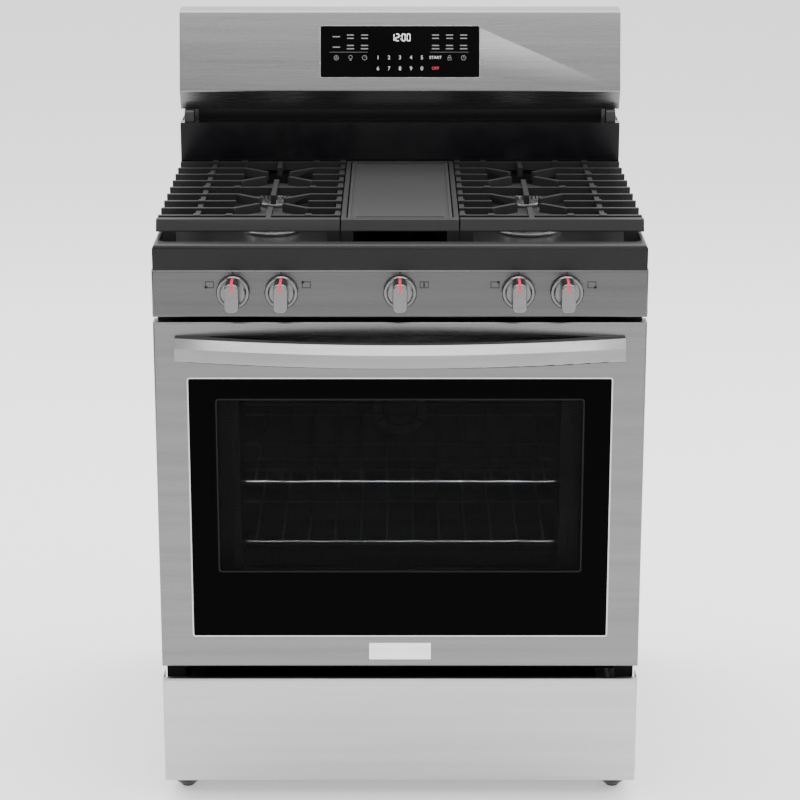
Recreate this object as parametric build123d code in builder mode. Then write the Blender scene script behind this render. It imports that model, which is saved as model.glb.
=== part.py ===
"""Freestanding 30-inch gas range, in millimetres.

Frame: +X to the user's right when facing the range, +Y to the wall behind it, +Z up.
The origin is on the floor under the centre of the range, which stands on four legs.
"""
from build123d import *
from math import atan2, cos, degrees, hypot, pi, sin
import os

os.makedirs("parts", exist_ok=True)

# ---------------------------------------------------------------- driving dimensions
FRONT_W = 759.0  # over the door, drawer and control panel
BODY_W = 752.0  # over the side panels
FRONT_Y = -300.0  # front plane of door, drawer and control panel
HANDLE_Y = -360.0  # foremost point of the door handle
BACK_Y = 360.0  # rearmost point, the heads of the back screws
TOP_Z = 1194.0  # top of the backguard
SHEET = 1.5  # folded sheet steel

LEG_Z = 33.0  # underside of the cabinet
DRAWER_TOP = 210.0
DOOR_BOTTOM, DOOR_TOP = 232.0, 799.0
PANEL_BOTTOM, PANEL_TOP = 806.5, 880.6
COOKTOP_RIM = 919.5
WELL_Z = 893.0  # cooktop surface round the burners
GRATE_TOP = 942.0

HALF = FRONT_W / 2
BODY_X = BODY_W / 2
SKIN_X = BODY_X - SHEET  # inner face of a side panel
REAR_SHEET_Y = 356.5  # front face of the back panel
SIDES = (("left", -1), ("right", 1))

# oven cavity
CAV_X = 305.0
CAV_FRONT, CAV_BACK = -252.0, 215.0
CAV_BOTTOM, CAV_TOP = 272.0, 735.0
FLOOR_Z = 300.0
LINER_T = 2.0
FAN_Z = 518.0
BAKE_Z, BAKE_R = 284.0, 11.0
BROIL_Z, BROIL_R = 718.0, 9.0
LAMP_X, LAMP_Z, LAMP_R = -210.0, 640.0, 20.0
BURNER_END_Y = 262.0  # rear end of both oven burner pipes
DUCT_X, DUCT_Y = 60.0, (160.0, 200.0)  # flue opening in the cavity roof
RACK_PITCH = 50.5
LOWER_RACK_Z = 413.0
UPPER_RACK_Z = LOWER_RACK_Z + 2 * RACK_PITCH
RACK_X, RACK_FRONT, RACK_MID, RACK_REAR = 286.0, -219.0, -13.0, 171.0

# door
HINGE_Y, HINGE_Z, HINGE_X = -272.0, 246.0, 340.0
GLASS_X, GLASS_BOTTOM, GLASS_TOP = 327.5, 284.5, 709.0
WINDOW_X, WINDOW_BOTTOM, WINDOW_TOP = 244.0, 386.0, 680.0
HANDLE_X, HANDLE_BOTTOM, HANDLE_TOP = 346.0, 740.5, 776.0

# burners and grates
BURNER_X = 205.0
BAR_PITCH = 54.0
MID_BAR_Y = 36.0
REAR_BURNER_Y = MID_BAR_Y + 2 * BAR_PITCH
FRONT_BURNER_Y = MID_BAR_Y - 2 * BAR_PITCH
BURNERS = (
    (-BURNER_X, FRONT_BURNER_Y, 49.0),
    (-BURNER_X, REAR_BURNER_Y, 44.0),
    (BURNER_X, REAR_BURNER_Y, 44.0),
    (BURNER_X, FRONT_BURNER_Y, 55.0),
)
OVAL_LENGTH, OVAL_WIDTH = 220.0, 58.0
GRATE_FRONT, GRATE_BACK = -225.0, 254.5
GRATE_GAP = 2.0
CENTER_GRATE_X = 91.5
GRATE_OUTER_X = 378.0

# knobs
KNOB_Z = 847.0
KNOBS = (
    ("front_left", -255.0),
    ("rear_left", -181.0),
    ("center", 0.0),
    ("rear_right", 181.0),
    ("front_right", 255.0),
)
STEM_R = 4.0
RUNNING_FIT = 0.05

# legs and gas supply
LEG_X, LEG_FRONT_Y, LEG_REAR_Y = 348.0, -238.0, 312.0
MANIFOLD_X, INLET_Y, INLET_Z = 326.0, 318.0, 150.0


# ---------------------------------------------------------------- helpers
def block(x, y, z, mode=Mode.ADD):
    """A box between pairs of X, Y and Z, in either order."""
    low = [min(pair) for pair in (x, y, z)]
    high = [max(pair) for pair in (x, y, z)]
    with Locations([(low[0], low[1], low[2])]):
        Box(*(h - l for l, h in zip(low, high)), align=(Align.MIN,) * 3, mode=mode)


def rod(start, end, radius, mode=Mode.ADD):
    """A round bar from start to end."""
    a, b = Vector(*start), Vector(*end)
    with Locations(Plane(origin=a, z_dir=b - a)):
        Cylinder(radius, (b - a).length, align=(Align.CENTER, Align.CENTER, Align.MIN), mode=mode)


def ball(centre, radius):
    """A round corner where rods meet."""
    with Locations([centre]):
        Sphere(radius)


def facing_front(y):
    """The XZ plane at that Y: sketch x is X, sketch y is Z, and it faces the user."""
    return Plane.XZ.offset(-y)


def write(piece, label):
    """Labels a finished piece and writes its STEP file."""
    piece.part.label = label
    export_step(piece.part, f"parts/{label}.step")


# ---------------------------------------------------------------- cabinet
FRAME_Y = (-254.0, -252.0)  # front frame, just behind the door
FLANGE = 28.0
SIDE_TOP = WELL_Z - SHEET

LEG_HOLE_R = 7.0
for side, s in SIDES:
    with BuildPart() as side_panel:
        block((s * SKIN_X, s * BODY_X), (FRAME_Y[0], REAR_SHEET_Y), (LEG_Z, SIDE_TOP))
        inner = (s * (SKIN_X - FLANGE), s * SKIN_X)
        block(inner, (FRAME_Y[1], FRAME_Y[1] + SHEET), (LEG_Z, SIDE_TOP))
        block(inner, (REAR_SHEET_Y - SHEET, REAR_SHEET_Y), (LEG_Z, SIDE_TOP))
        block(inner, (FRAME_Y[1], REAR_SHEET_Y), (SIDE_TOP - SHEET, SIDE_TOP))
        block(inner, (FRAME_Y[1], REAR_SHEET_Y), (LEG_Z, LEG_Z + SHEET))
        for y in (LEG_FRONT_Y, LEG_REAR_Y):
            rod((s * LEG_X, y, LEG_Z - 1), (s * LEG_X, y, LEG_Z + 4), LEG_HOLE_R, Mode.SUBTRACT)
    write(side_panel, f"side_panel_{side}")

RAIL_T = 2.0
RAIL_IN, RAIL_OUT, RAIL_HIGH = 330.0, 372.0, 60.0
RAIL_Y = (FRAME_Y[1] + SHEET, REAR_SHEET_Y - SHEET)
RAIL_LOW = LEG_Z + SHEET
CROSS_WIDTH, CROSS_FRONT_Y, CROSS_REAR_Y, CROSS_HIGH = 30.0, -236.0, 300.0, 80.0
STUD_R, NUT_R, NUT_H = 5.0, 11.0, 12.0
LEG_PLACES = [(x, y) for x in (-LEG_X, LEG_X) for y in (LEG_FRONT_Y, LEG_REAR_Y)]
with BuildPart() as base_frame:
    flat = (RAIL_LOW, RAIL_LOW + RAIL_T)
    for side, s in SIDES:
        block((s * RAIL_IN, s * RAIL_OUT), RAIL_Y, flat)
        block((s * RAIL_IN, s * (RAIL_IN + RAIL_T)), RAIL_Y, (RAIL_LOW, RAIL_HIGH))
    for y in (CROSS_FRONT_Y, CROSS_REAR_Y):
        block((-RAIL_IN, RAIL_IN), (y, y + CROSS_WIDTH), flat)
    rear_wall = CROSS_REAR_Y + CROSS_WIDTH
    block((-RAIL_IN, RAIL_IN), (rear_wall - RAIL_T, rear_wall), (RAIL_LOW, CROSS_HIGH))
    for x, y in LEG_PLACES:
        rod((x, y, RAIL_LOW), (x, y, RAIL_LOW + NUT_H), NUT_R)
        rod((x, y, RAIL_LOW - 1), (x, y, RAIL_LOW + NUT_H + 1), STUD_R + RUNNING_FIT, Mode.SUBTRACT)
write(base_frame, "base_frame")

SOLE_R, SOLE_H = 10.0, 2.0
FOOT_R, FOOT_WIDE_Z, FOOT_TOP_Z = 23.0, 13.0, 17.0
NECK_R, NECK_TOP_R, NECK_TOP_Z, STUD_TOP_Z = 18.0, 9.0, 26.0, 62.0
UPWARD = (Align.CENTER, Align.CENTER, Align.MIN)
with BuildPart() as levelling_legs:
    for x, y in LEG_PLACES:
        rod((x, y, 0), (x, y, SOLE_H), SOLE_R)
        with Locations((x, y, SOLE_H)):
            Cone(SOLE_R + 1.5, FOOT_R, FOOT_WIDE_Z - SOLE_H, align=UPWARD)
        rod((x, y, FOOT_WIDE_Z), (x, y, FOOT_TOP_Z), FOOT_R)
        with Locations((x, y, FOOT_TOP_Z)):
            Cone(NECK_R, NECK_TOP_R, NECK_TOP_Z - FOOT_TOP_Z, align=UPWARD)
        rod((x, y, NECK_TOP_Z), (x, y, STUD_TOP_Z), STUD_R)
write(levelling_legs, "levelling_legs")

APRON_Y, APRON_LIP_BACK = (-244.0, -242.0), -222.0
APRON_BOTTOM = 206.0
FRAME_BOTTOM, FRAME_TOP = 266.0, 803.0
FRAME_X = 373.0
OPENING_R = 20.0
ARM_HOLE_X, ARM_HOLE_Z = 5.0, 13.0
FLANGE_NOTCH = (FRAME_Y[1], -200.0)
with BuildPart() as front_frame:
    with BuildSketch(facing_front(FRAME_Y[1])):
        with Locations((0, (FRAME_BOTTOM + FRAME_TOP) / 2)):
            Rectangle(2 * FRAME_X, FRAME_TOP - FRAME_BOTTOM)
        with Locations((0, (FLOOR_Z + CAV_TOP) / 2)):
            RectangleRounded(2 * CAV_X, CAV_TOP - FLOOR_Z, OPENING_R, mode=Mode.SUBTRACT)
    extrude(amount=FRAME_Y[1] - FRAME_Y[0])
    full = (-FRAME_X, FRAME_X)
    block(full, (FRAME_Y[1], APRON_Y[1]), (FRAME_BOTTOM, FRAME_BOTTOM + RAIL_T))
    block(full, APRON_Y, (APRON_BOTTOM, FRAME_BOTTOM))
    block(full, (APRON_Y[1], APRON_LIP_BACK), (APRON_BOTTOM, APRON_BOTTOM + RAIL_T))
    for side, s in SIDES:
        arm_x = (s * (HINGE_X - ARM_HOLE_X), s * (HINGE_X + ARM_HOLE_X))
        arm_z = (HINGE_Z - ARM_HOLE_Z, HINGE_Z + ARM_HOLE_Z)
        block(arm_x, (FRAME_Y[0] - 6, APRON_Y[1] + 7), arm_z, Mode.SUBTRACT)
        # room for the front flange of the side panel
        flange_x = (s * (SKIN_X - FLANGE - 0.5), s * BODY_X)
        block(flange_x, FLANGE_NOTCH, (APRON_BOTTOM - 1, FRAME_BOTTOM + RAIL_T), Mode.SUBTRACT)
write(front_frame, "front_frame")

BACK_LOW, BACK_HIGH = 45.0, 1188.0
VENT_ROWS, VENTS, VENT_STEP = (300, 330, 360, 700, 730), 8, 60.0
VENT_L, VENT_W = 40.0, 8.0
PIPE_OPENING_W, PIPE_OPENING_H, PIPE_OPENING_R = 60.0, 90.0, 8.0
with BuildPart() as back_panel:
    block((-SKIN_X, SKIN_X), (REAR_SHEET_Y, REAR_SHEET_Y + SHEET), (BACK_LOW, BACK_HIGH))
    # cooling slots, and the opening for the gas pipe
    with BuildSketch(facing_front(REAR_SHEET_Y - 1)):
        for row_z in VENT_ROWS:
            with Locations((0, row_z)):
                with GridLocations(VENT_STEP, 1, VENTS, 1):
                    SlotOverall(VENT_L, VENT_W)
        with Locations((MANIFOLD_X, INLET_Z)):
            RectangleRounded(PIPE_OPENING_W, PIPE_OPENING_H, PIPE_OPENING_R)
    extrude(amount=-SHEET - 2, mode=Mode.SUBTRACT)
write(back_panel, "back_panel")

# ---------------------------------------------------------------- oven cavity
# openings in the rear wall for the fan shaft, the burner pipes and the lamp
REAR_PORTS = (
    (0, FAN_Z, 9.0),
    (0, BAKE_Z, BAKE_R + 0.1),
    (0, BROIL_Z, BROIL_R + 0.1),
    (LAMP_X, LAMP_Z, LAMP_R + 0.5),
)
with BuildPart() as oven_liner:
    for grow, back, mode in ((LINER_T, CAV_BACK + LINER_T, Mode.ADD), (0.0, CAV_BACK, Mode.SUBTRACT)):
        with BuildSketch(facing_front(CAV_FRONT)):
            with Locations((0, (CAV_BOTTOM + CAV_TOP) / 2)):
                height = CAV_TOP - CAV_BOTTOM + 2 * grow
                RectangleRounded(2 * (CAV_X + grow), height, OPENING_R + grow)
        extrude(amount=CAV_FRONT - back, mode=mode)
    for x, z, radius in REAR_PORTS:
        rod((x, CAV_BACK - 1, z), (x, CAV_BACK + LINER_T + 1, z), radius, Mode.SUBTRACT)
    block((-DUCT_X, DUCT_X), DUCT_Y, (CAV_TOP - 1, CAV_TOP + LINER_T + 1), Mode.SUBTRACT)
write(oven_liner, "oven_liner")

BLANKET, BLANKET_FRONT = 24.0, -238.0
FLUE_CLEAR = 3.0
BLANKET_PORTS = ((0, FAN_Z, 52.0), (0, BAKE_Z, 13.0), (0, BROIL_Z, 13.0), (LAMP_X, LAMP_Z, 24.0))
with BuildPart() as insulation_blanket:
    low, high = CAV_BOTTOM - LINER_T, CAV_TOP + LINER_T
    wide = CAV_X + LINER_T + BLANKET
    block((-wide, wide), (BLANKET_FRONT, CAV_BACK + LINER_T + BLANKET), (low, high + BLANKET))
    with BuildSketch(facing_front(BLANKET_FRONT - 2)):
        with Locations((0, (low + high) / 2)):
            RectangleRounded(2 * (CAV_X + LINER_T), high - low, OPENING_R + LINER_T)
    extrude(amount=BLANKET_FRONT - 2 - CAV_BACK - LINER_T, mode=Mode.SUBTRACT)
    flue_x = (-DUCT_X - FLUE_CLEAR, DUCT_X + FLUE_CLEAR)
    flue_y = (DUCT_Y[0] - FLUE_CLEAR, DUCT_Y[1] + FLUE_CLEAR)
    block(flue_x, flue_y, (high - 5, high + BLANKET + 5), Mode.SUBTRACT)
    for x, z, radius in BLANKET_PORTS:
        rod((x, CAV_BACK, z), (x, CAV_BACK + BLANKET + 10, z), radius, Mode.SUBTRACT)
write(insulation_blanket, "insulation_blanket")

GUIDE_X, GUIDE_R, GUIDE_DROP = 291.0, 3.0, 3.9
GUIDE_Y, GUIDE_LEVELS = (-226.0, 160.0), range(-1, 5)
POST_X, POST_Z = 296.0, (335.0, 640.0)
with BuildPart() as rack_guides:
    for side, s in SIDES:
        for level in GUIDE_LEVELS:
            z = LOWER_RACK_Z + level * RACK_PITCH - GUIDE_DROP
            rod((s * GUIDE_X, GUIDE_Y[0], z), (s * GUIDE_X, GUIDE_Y[1], z), GUIDE_R)
        for y in (-190, 120):
            rod((s * POST_X, y, POST_Z[0]), (s * POST_X, y, POST_Z[1]), GUIDE_R)
            for z in (POST_Z[0] + 10, POST_Z[1] - 10):
                rod((s * POST_X, y, z), (s * CAV_X, y, z), GUIDE_R)
write(rack_guides, "rack_guides")

WIRE_PITCH, WIRES, WIRE_R, FRAME_R, CROSS_R = 41.9, 14, 2.0, 3.2, 2.6
WIRE_RISE, STOP_RISE = 4.2, 16.0
for label, z in (("rack_upper", UPPER_RACK_Z), ("rack_lower", LOWER_RACK_Z)):
    with BuildPart() as rack:
        for s in (-1, 1):
            rod((s * RACK_X, RACK_FRONT, z), (s * RACK_X, RACK_REAR, z), FRAME_R)
            ball((s * RACK_X, RACK_FRONT, z), FRAME_R)
            ball((s * RACK_X, RACK_REAR, z), FRAME_R)
            rod((s * RACK_X, RACK_REAR, z), (s * RACK_X, RACK_REAR, z + STOP_RISE), FRAME_R)
            ball((s * RACK_X, RACK_REAR, z + STOP_RISE), FRAME_R)
        rod((-RACK_X, RACK_FRONT, z), (RACK_X, RACK_FRONT, z), FRAME_R)
        rod((-RACK_X, RACK_REAR, z + STOP_RISE), (RACK_X, RACK_REAR, z + STOP_RISE), FRAME_R)
        for y in (RACK_MID, RACK_REAR - 12):
            rod((-RACK_X, y, z), (RACK_X, y, z), CROSS_R)
        for i in range(WIRES):
            x = (i - (WIRES - 1) / 2) * WIRE_PITCH
            rod((x, RACK_FRONT - 1, z + WIRE_RISE), (x, RACK_REAR - 8, z + WIRE_RISE), WIRE_R)
    write(rack, label)

FLOOR_SLOT_X, FLOOR_SLOT_Y, FLOOR_SLOTS, FLOOR_SLOT_STEP = 255.0, -20.0, 9, 42.0
with BuildPart() as oven_floor:
    block((-CAV_X, CAV_X), (CAV_FRONT + 1, CAV_BACK - 1), (FLOOR_Z, FLOOR_Z + SHEET))
    with BuildSketch(Plane.XY.offset(FLOOR_Z - 1)):
        with Locations((-FLOOR_SLOT_X, FLOOR_SLOT_Y), (FLOOR_SLOT_X, FLOOR_SLOT_Y)):
            with GridLocations(1, FLOOR_SLOT_STEP, 1, FLOOR_SLOTS):
                SlotOverall(50, 9)
    extrude(amount=SHEET + 2, mode=Mode.SUBTRACT)
write(oven_floor, "oven_floor_panel")

# each oven burner is a pipe that carries a thin plate
SPREADER_X, SPREADER_Y = 70.0, (-200.0, 170.0)
BAKE_FRONT, BAKE_BORE_R = -190.0, 5.0
with BuildPart() as bake_burner:
    rod((0, BAKE_FRONT, BAKE_Z), (0, BURNER_END_Y, BAKE_Z), BAKE_R)
    block((-SPREADER_X, SPREADER_X), SPREADER_Y, (BAKE_Z + BAKE_R - 1, BAKE_Z + BAKE_R + 0.5))
    rod((0, BAKE_FRONT - 1, BAKE_Z), (0, BAKE_FRONT + 10, BAKE_Z), BAKE_BORE_R, Mode.SUBTRACT)
write(bake_burner, "bake_burner")

HOOD_X, HOOD_Y, HOOD_LIP = 95.0, (-180.0, 140.0), 2.0
with BuildPart() as broil_burner:
    rod((0, HOOD_Y[0] + 10, BROIL_Z), (0, BURNER_END_Y, BROIL_Z), BROIL_R)
    hood_z = BROIL_Z - BROIL_R - 0.5
    block((-HOOD_X, HOOD_X), HOOD_Y, (hood_z, hood_z + SHEET))
    for s in (-1, 1):
        block((s * HOOD_X, s * (HOOD_X - SHEET)), HOOD_Y, (hood_z, BROIL_Z + HOOD_LIP))
write(broil_burner, "broil_burner")

COVER_Y = 178.0
COVER_X, COVER_Z, COVER_R = 130.0, 112.0, 16.0
RING_R, RING_IN_R, HUB_R, SPOKE_W = 47.0, 31.0, 28.0, 3.0
LOUVRE_X, LOUVRES, LOUVRE_STEP = 105.0, 9, 18.0
with BuildPart() as fan_cover:
    for shrink, front, mode in ((0.0, COVER_Y, Mode.ADD), (SHEET, COVER_Y + SHEET, Mode.SUBTRACT)):
        with BuildSketch(facing_front(front)):
            with Locations((0, FAN_Z)):
                RectangleRounded(2 * (COVER_X - shrink), 2 * (COVER_Z - shrink), COVER_R)
        extrude(amount=front - CAV_BACK, mode=mode)
    with BuildSketch(facing_front(COVER_Y - 1)):
        with Locations((0, FAN_Z)):
            Circle(RING_R)
            Circle(RING_IN_R, mode=Mode.SUBTRACT)
            Circle(HUB_R)
            with PolarLocations((RING_R + HUB_R) / 2, 3, 90):
                Rectangle(30, SPOKE_W, mode=Mode.SUBTRACT)
        with Locations((-LOUVRE_X, FAN_Z), (LOUVRE_X, FAN_Z)):
            with GridLocations(1, LOUVRE_STEP, 1, LOUVRES):
                SlotOverall(34, 5)
    extrude(amount=-SHEET - 2, mode=Mode.SUBTRACT)
    # open sides that let the air out behind the cover
    for s in (-1, 1):
        side_x = (s * (COVER_X - 5), s * (COVER_X + 5))
        block(side_x, (188, 205), (FAN_Z - 70, FAN_Z + 70), Mode.SUBTRACT)
write(fan_cover, "fan_cover")

BLADES, BLADE_L, BLADE_W, BLADE_T, BLADE_PITCH = 9, 52.0, 18.0, 1.6, 28.0
FAN_Y, FAN_HUB_R, FAN_DISC_R = (185.0, 205.0), 17.0, 68.0
with BuildPart() as convection_fan:
    rod((0, FAN_Y[0], FAN_Z), (0, FAN_Y[1], FAN_Z), FAN_HUB_R)
    rod((0, FAN_Y[0] - 2, FAN_Z), (0, FAN_Y[0] + 1, FAN_Z), 6)
    rod((0, FAN_Y[0] + 1, FAN_Z), (0, 262, FAN_Z), STEM_R)
    rod((0, FAN_Y[1] - 1, FAN_Z), (0, FAN_Y[1] + 0.5, FAN_Z), FAN_DISC_R)
    for i in range(BLADES):
        turn = 2 * pi / BLADES * i
        outward = (cos(turn), 0, sin(turn))
        with Locations(Plane(origin=(0, 195, FAN_Z), x_dir=outward, z_dir=(0, -1, 0))):
            with Locations(Location((41, 0, 0), (BLADE_PITCH, 0, 0))):
                Box(BLADE_L, BLADE_W, BLADE_T)
write(convection_fan, "convection_fan")

MOTOR_Y, MOTOR_R, MOUNT_R = (224.0, 228.0, 300.0), 40.0, 48.0
with BuildPart() as fan_motor:
    rod((0, MOTOR_Y[0], FAN_Z), (0, MOTOR_Y[1], FAN_Z), MOUNT_R)
    rod((0, MOTOR_Y[1], FAN_Z), (0, MOTOR_Y[2], FAN_Z), MOTOR_R)
    for turn in (pi / 2, 7 * pi / 6, 11 * pi / 6):
        x, z = 42 * cos(turn), FAN_Z + 42 * sin(turn)
        rod((x, CAV_BACK + LINER_T, z), (x, MOTOR_Y[0], z), 5)
    rod((0, MOTOR_Y[0] - 4, FAN_Z), (0, 264, FAN_Z), STEM_R + RUNNING_FIT, Mode.SUBTRACT)
write(fan_motor, "fan_motor")

LENS_R, LAMP_FLANGE_R, LAMP_END_Y = 23.0, 28.0, 250.0
with BuildPart() as oven_lamp:
    rod((LAMP_X, CAV_BACK - 2, LAMP_Z), (LAMP_X, CAV_BACK, LAMP_Z), LAMP_FLANGE_R)
    rod((LAMP_X, CAV_BACK - 12, LAMP_Z), (LAMP_X, CAV_BACK - 2, LAMP_Z), LENS_R)
    fillet(oven_lamp.edges().filter_by(GeomType.CIRCLE).sort_by(Axis.Y)[0], 6)
    rod((LAMP_X, CAV_BACK, LAMP_Z), (LAMP_X, LAMP_END_Y, LAMP_Z), LAMP_R)
write(oven_lamp, "oven_lamp")

GASKET_T, GASKET_IN, GASKET_OUT = 4.7, 3.0, 12.0
with BuildPart() as door_gasket:
    with BuildSketch(facing_front(FRAME_Y[0])):
        with Locations((0, (FLOOR_Z + CAV_TOP) / 2)):
            for grow, mode in ((GASKET_OUT, Mode.ADD), (GASKET_IN, Mode.SUBTRACT)):
                height = CAV_TOP - FLOOR_Z + 2 * grow
                RectangleRounded(2 * (CAV_X + grow), height, OPENING_R + grow, mode=mode)
    extrude(amount=GASKET_T)
    fillet(door_gasket.faces().sort_by(Axis.Y)[0].edges(), 3)
write(door_gasket, "door_gasket")

# ---------------------------------------------------------------- cooktop and burners
COOK_X = 378.0
COOK_FRONT, COOK_BACK = FRONT_Y + 2, 261.5
RIM, SIDE_RIM, BACK_RIM, WELL_R = 24.0, 8.0, 6.0, 14.0
CORNER_R, EDGE_R = 4.0, 7.0
HEAD_INSET, SPARK_OFFSET, SPARK_HOLE_R = 12.0, 8.0, 4.0
with BuildPart() as cooktop:
    block((-COOK_X, COOK_X), (COOK_FRONT, COOK_BACK), (PANEL_TOP, COOKTOP_RIM))
    fillet(cooktop.faces().sort_by(Axis.Z)[-1].edges(), EDGE_R)
    # the well that the grates and burners stand in
    well_y = (COOK_FRONT + RIM, COOK_BACK - BACK_RIM)
    with BuildSketch(Plane.XY.offset(COOKTOP_RIM)):
        with Locations((0, sum(well_y) / 2)):
            RectangleRounded(2 * (COOK_X - SIDE_RIM), well_y[1] - well_y[0], WELL_R)
    extrude(amount=WELL_Z - COOKTOP_RIM, mode=Mode.SUBTRACT)
    # hollow underneath, open at the back, and inside the front rim
    under_x = (-COOK_X + SHEET, COOK_X - SHEET)
    block(under_x, (COOK_FRONT + SHEET, COOK_BACK + 1), (PANEL_TOP, WELL_Z - SHEET), Mode.SUBTRACT)
    block(
        (-COOK_X + 16, COOK_X - 16),
        (COOK_FRONT + 5, COOK_FRONT + RIM - SHEET),
        (WELL_Z - SHEET, COOKTOP_RIM - SHEET),
        Mode.SUBTRACT,
    )
    # openings under each burner and beside it for the spark igniter
    with BuildSketch(Plane.XY.offset(WELL_Z + 5)):
        for x, y, radius in BURNERS:
            with Locations((x, y)):
                Circle(radius - HEAD_INSET)
            with Locations((x, y + radius + SPARK_OFFSET)):
                Circle(SPARK_HOLE_R)
        with Locations((0, MID_BAR_Y)):
            SlotOverall(OVAL_LENGTH - 16, OVAL_WIDTH - 16, rotation=90)
        with Locations((0, MID_BAR_Y + OVAL_LENGTH / 2 + SPARK_OFFSET)):
            Circle(SPARK_HOLE_R)
    extrude(amount=-15, mode=Mode.SUBTRACT)
write(cooktop, "cooktop")

HEAD_Z, CAP_Z = 911.0, 918.5
BASE_H, THROAT_DROP, THROAT_R = 4.0, 28.0, 10.0
PORT_COUNT, PORT_L, PORT_W, PORT_H = 28, 6.0, 2.0, 5.0
with BuildPart() as burner_bases:
    for x, y, radius in BURNERS:
        rod((x, y, WELL_Z), (x, y, WELL_Z + BASE_H), radius)
        rod((x, y, WELL_Z + BASE_H), (x, y, HEAD_Z), radius - 8)
        rod((x, y, WELL_Z - THROAT_DROP), (x, y, WELL_Z), radius - 14)
        rod((x, y, WELL_Z - THROAT_DROP - 1), (x, y, HEAD_Z - 8), THROAT_R, Mode.SUBTRACT)
        with BuildSketch(Plane.XY.offset(HEAD_Z - 7)):
            with Locations((x, y)):
                with PolarLocations(radius - 9, PORT_COUNT):
                    Rectangle(PORT_L, PORT_W)
        extrude(amount=PORT_H, mode=Mode.SUBTRACT)
    with BuildSketch(Plane.XY.offset(WELL_Z)):
        with Locations((0, MID_BAR_Y)):
            SlotOverall(OVAL_LENGTH, OVAL_WIDTH, rotation=90)
    extrude(amount=BASE_H)
    with BuildSketch(Plane.XY.offset(WELL_Z - THROAT_DROP)):
        with Locations((0, MID_BAR_Y)):
            SlotOverall(OVAL_LENGTH - 20, OVAL_WIDTH - 20, rotation=90)
    extrude(amount=HEAD_Z - WELL_Z + THROAT_DROP)
write(burner_bases, "burner_bases")

with BuildPart() as burner_caps:
    for x, y, radius in BURNERS:
        rod((x, y, HEAD_Z), (x, y, CAP_Z), radius - 9)
    with BuildSketch(Plane.XY.offset(HEAD_Z)):
        with Locations((0, MID_BAR_Y)):
            SlotOverall(OVAL_LENGTH - 12, OVAL_WIDTH - 12, rotation=90)
    extrude(amount=CAP_Z - HEAD_Z - 1)
    fillet(burner_caps.faces().filter_by(Axis.Z).group_by(Axis.Z)[-1].edges(), 3.5)
    fillet(burner_caps.faces().filter_by(Axis.Z).group_by(Axis.Z)[-2].edges(), 3)
write(burner_caps, "burner_caps")

SPARKS = [(x, y + radius + SPARK_OFFSET) for x, y, radius in BURNERS]
SPARKS.append((0, MID_BAR_Y + OVAL_LENGTH / 2 + SPARK_OFFSET))
with BuildPart() as spark_igniters:
    for x, y in SPARKS:
        rod((x, y, WELL_Z - 20), (x, y, WELL_Z + 13), 3.5)
        rod((x, y, WELL_Z), (x, y, WELL_Z + 3), 6)
        rod((x, y, WELL_Z + 13), (x, y, WELL_Z + 19), 1.2)
write(spark_igniters, "spark_igniters")

# ---------------------------------------------------------------- gas train
MANIFOLD_Y, MANIFOLD_R, MANIFOLD_END, MANIFOLD_BEND = -250.0, 9.0, -320.0, 28.0
with BuildPart() as gas_manifold:
    with BuildLine():
        FilletPolyline(
            (MANIFOLD_END, MANIFOLD_Y, KNOB_Z),
            (MANIFOLD_X, MANIFOLD_Y, KNOB_Z),
            (MANIFOLD_X, INLET_Y, KNOB_Z),
            (MANIFOLD_X, INLET_Y, INLET_Z + 30),
            radius=MANIFOLD_BEND,
        )
    with BuildSketch(Plane(origin=(MANIFOLD_END, MANIFOLD_Y, KNOB_Z), z_dir=(1, 0, 0))):
        Circle(MANIFOLD_R)
    sweep()
write(gas_manifold, "gas_manifold")

VALVE_FRONT, VALVE_BODY_FRONT = -288.0, -280.0
VALVE_BACK = MANIFOLD_Y - MANIFOLD_R - 0.2
TUBE_R, TUBE_DROP, TUBE_BEND = 3.2, 20.0, 9.0
TUBE_START = VALVE_BACK - TUBE_R
CENTER_LANE = 60.0
burner_of = {
    "front_left": BURNERS[0][:2],
    "rear_left": BURNERS[1][:2],
    "center": (0.0, MID_BAR_Y),
    "rear_right": BURNERS[2][:2],
    "front_right": BURNERS[3][:2],
}


def tube_lane(name, burner_x):
    """The X at which a tube runs back, clear of the other tubes."""
    if name == "center":
        return CENTER_LANE
    away = -1 if burner_x < 0 else 1
    return burner_x + away * 30 if name.startswith("front") else burner_x - away * 45


# a rigid aluminium tube from each valve to its burner
with BuildPart() as burner_tubes:
    tube_z = KNOB_Z - TUBE_DROP
    for name, x in KNOBS:
        burner_x, burner_y = burner_of[name]
        lane = tube_lane(name, burner_x)
        with BuildLine():
            FilletPolyline(
                (x, TUBE_START, tube_z),
                (x, -215, tube_z),
                (lane, -195, tube_z),
                (lane, burner_y - 30, tube_z),
                (burner_x, burner_y, tube_z),
                (burner_x, burner_y, WELL_Z - THROAT_DROP),
                radius=TUBE_BEND,
            )
        with BuildSketch(Plane(origin=(x, TUBE_START, tube_z), z_dir=(0, 1, 0))):
            Circle(TUBE_R)
        sweep()
write(burner_tubes, "burner_tubes")

with BuildPart() as burner_valves:
    for name, x in KNOBS:
        block((x - 12, x + 12), (VALVE_BODY_FRONT, TUBE_START), (KNOB_Z - 27, KNOB_Z + 13))
        rod((x, VALVE_FRONT, KNOB_Z), (x, VALVE_BODY_FRONT, KNOB_Z), 9)
        rod((x, TUBE_START, KNOB_Z), (x, VALVE_BACK, KNOB_Z), 7)
        rod((x, VALVE_FRONT - 2, KNOB_Z), (x, -266, KNOB_Z), STEM_R + RUNNING_FIT, Mode.SUBTRACT)
write(burner_valves, "burner_valves")

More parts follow.
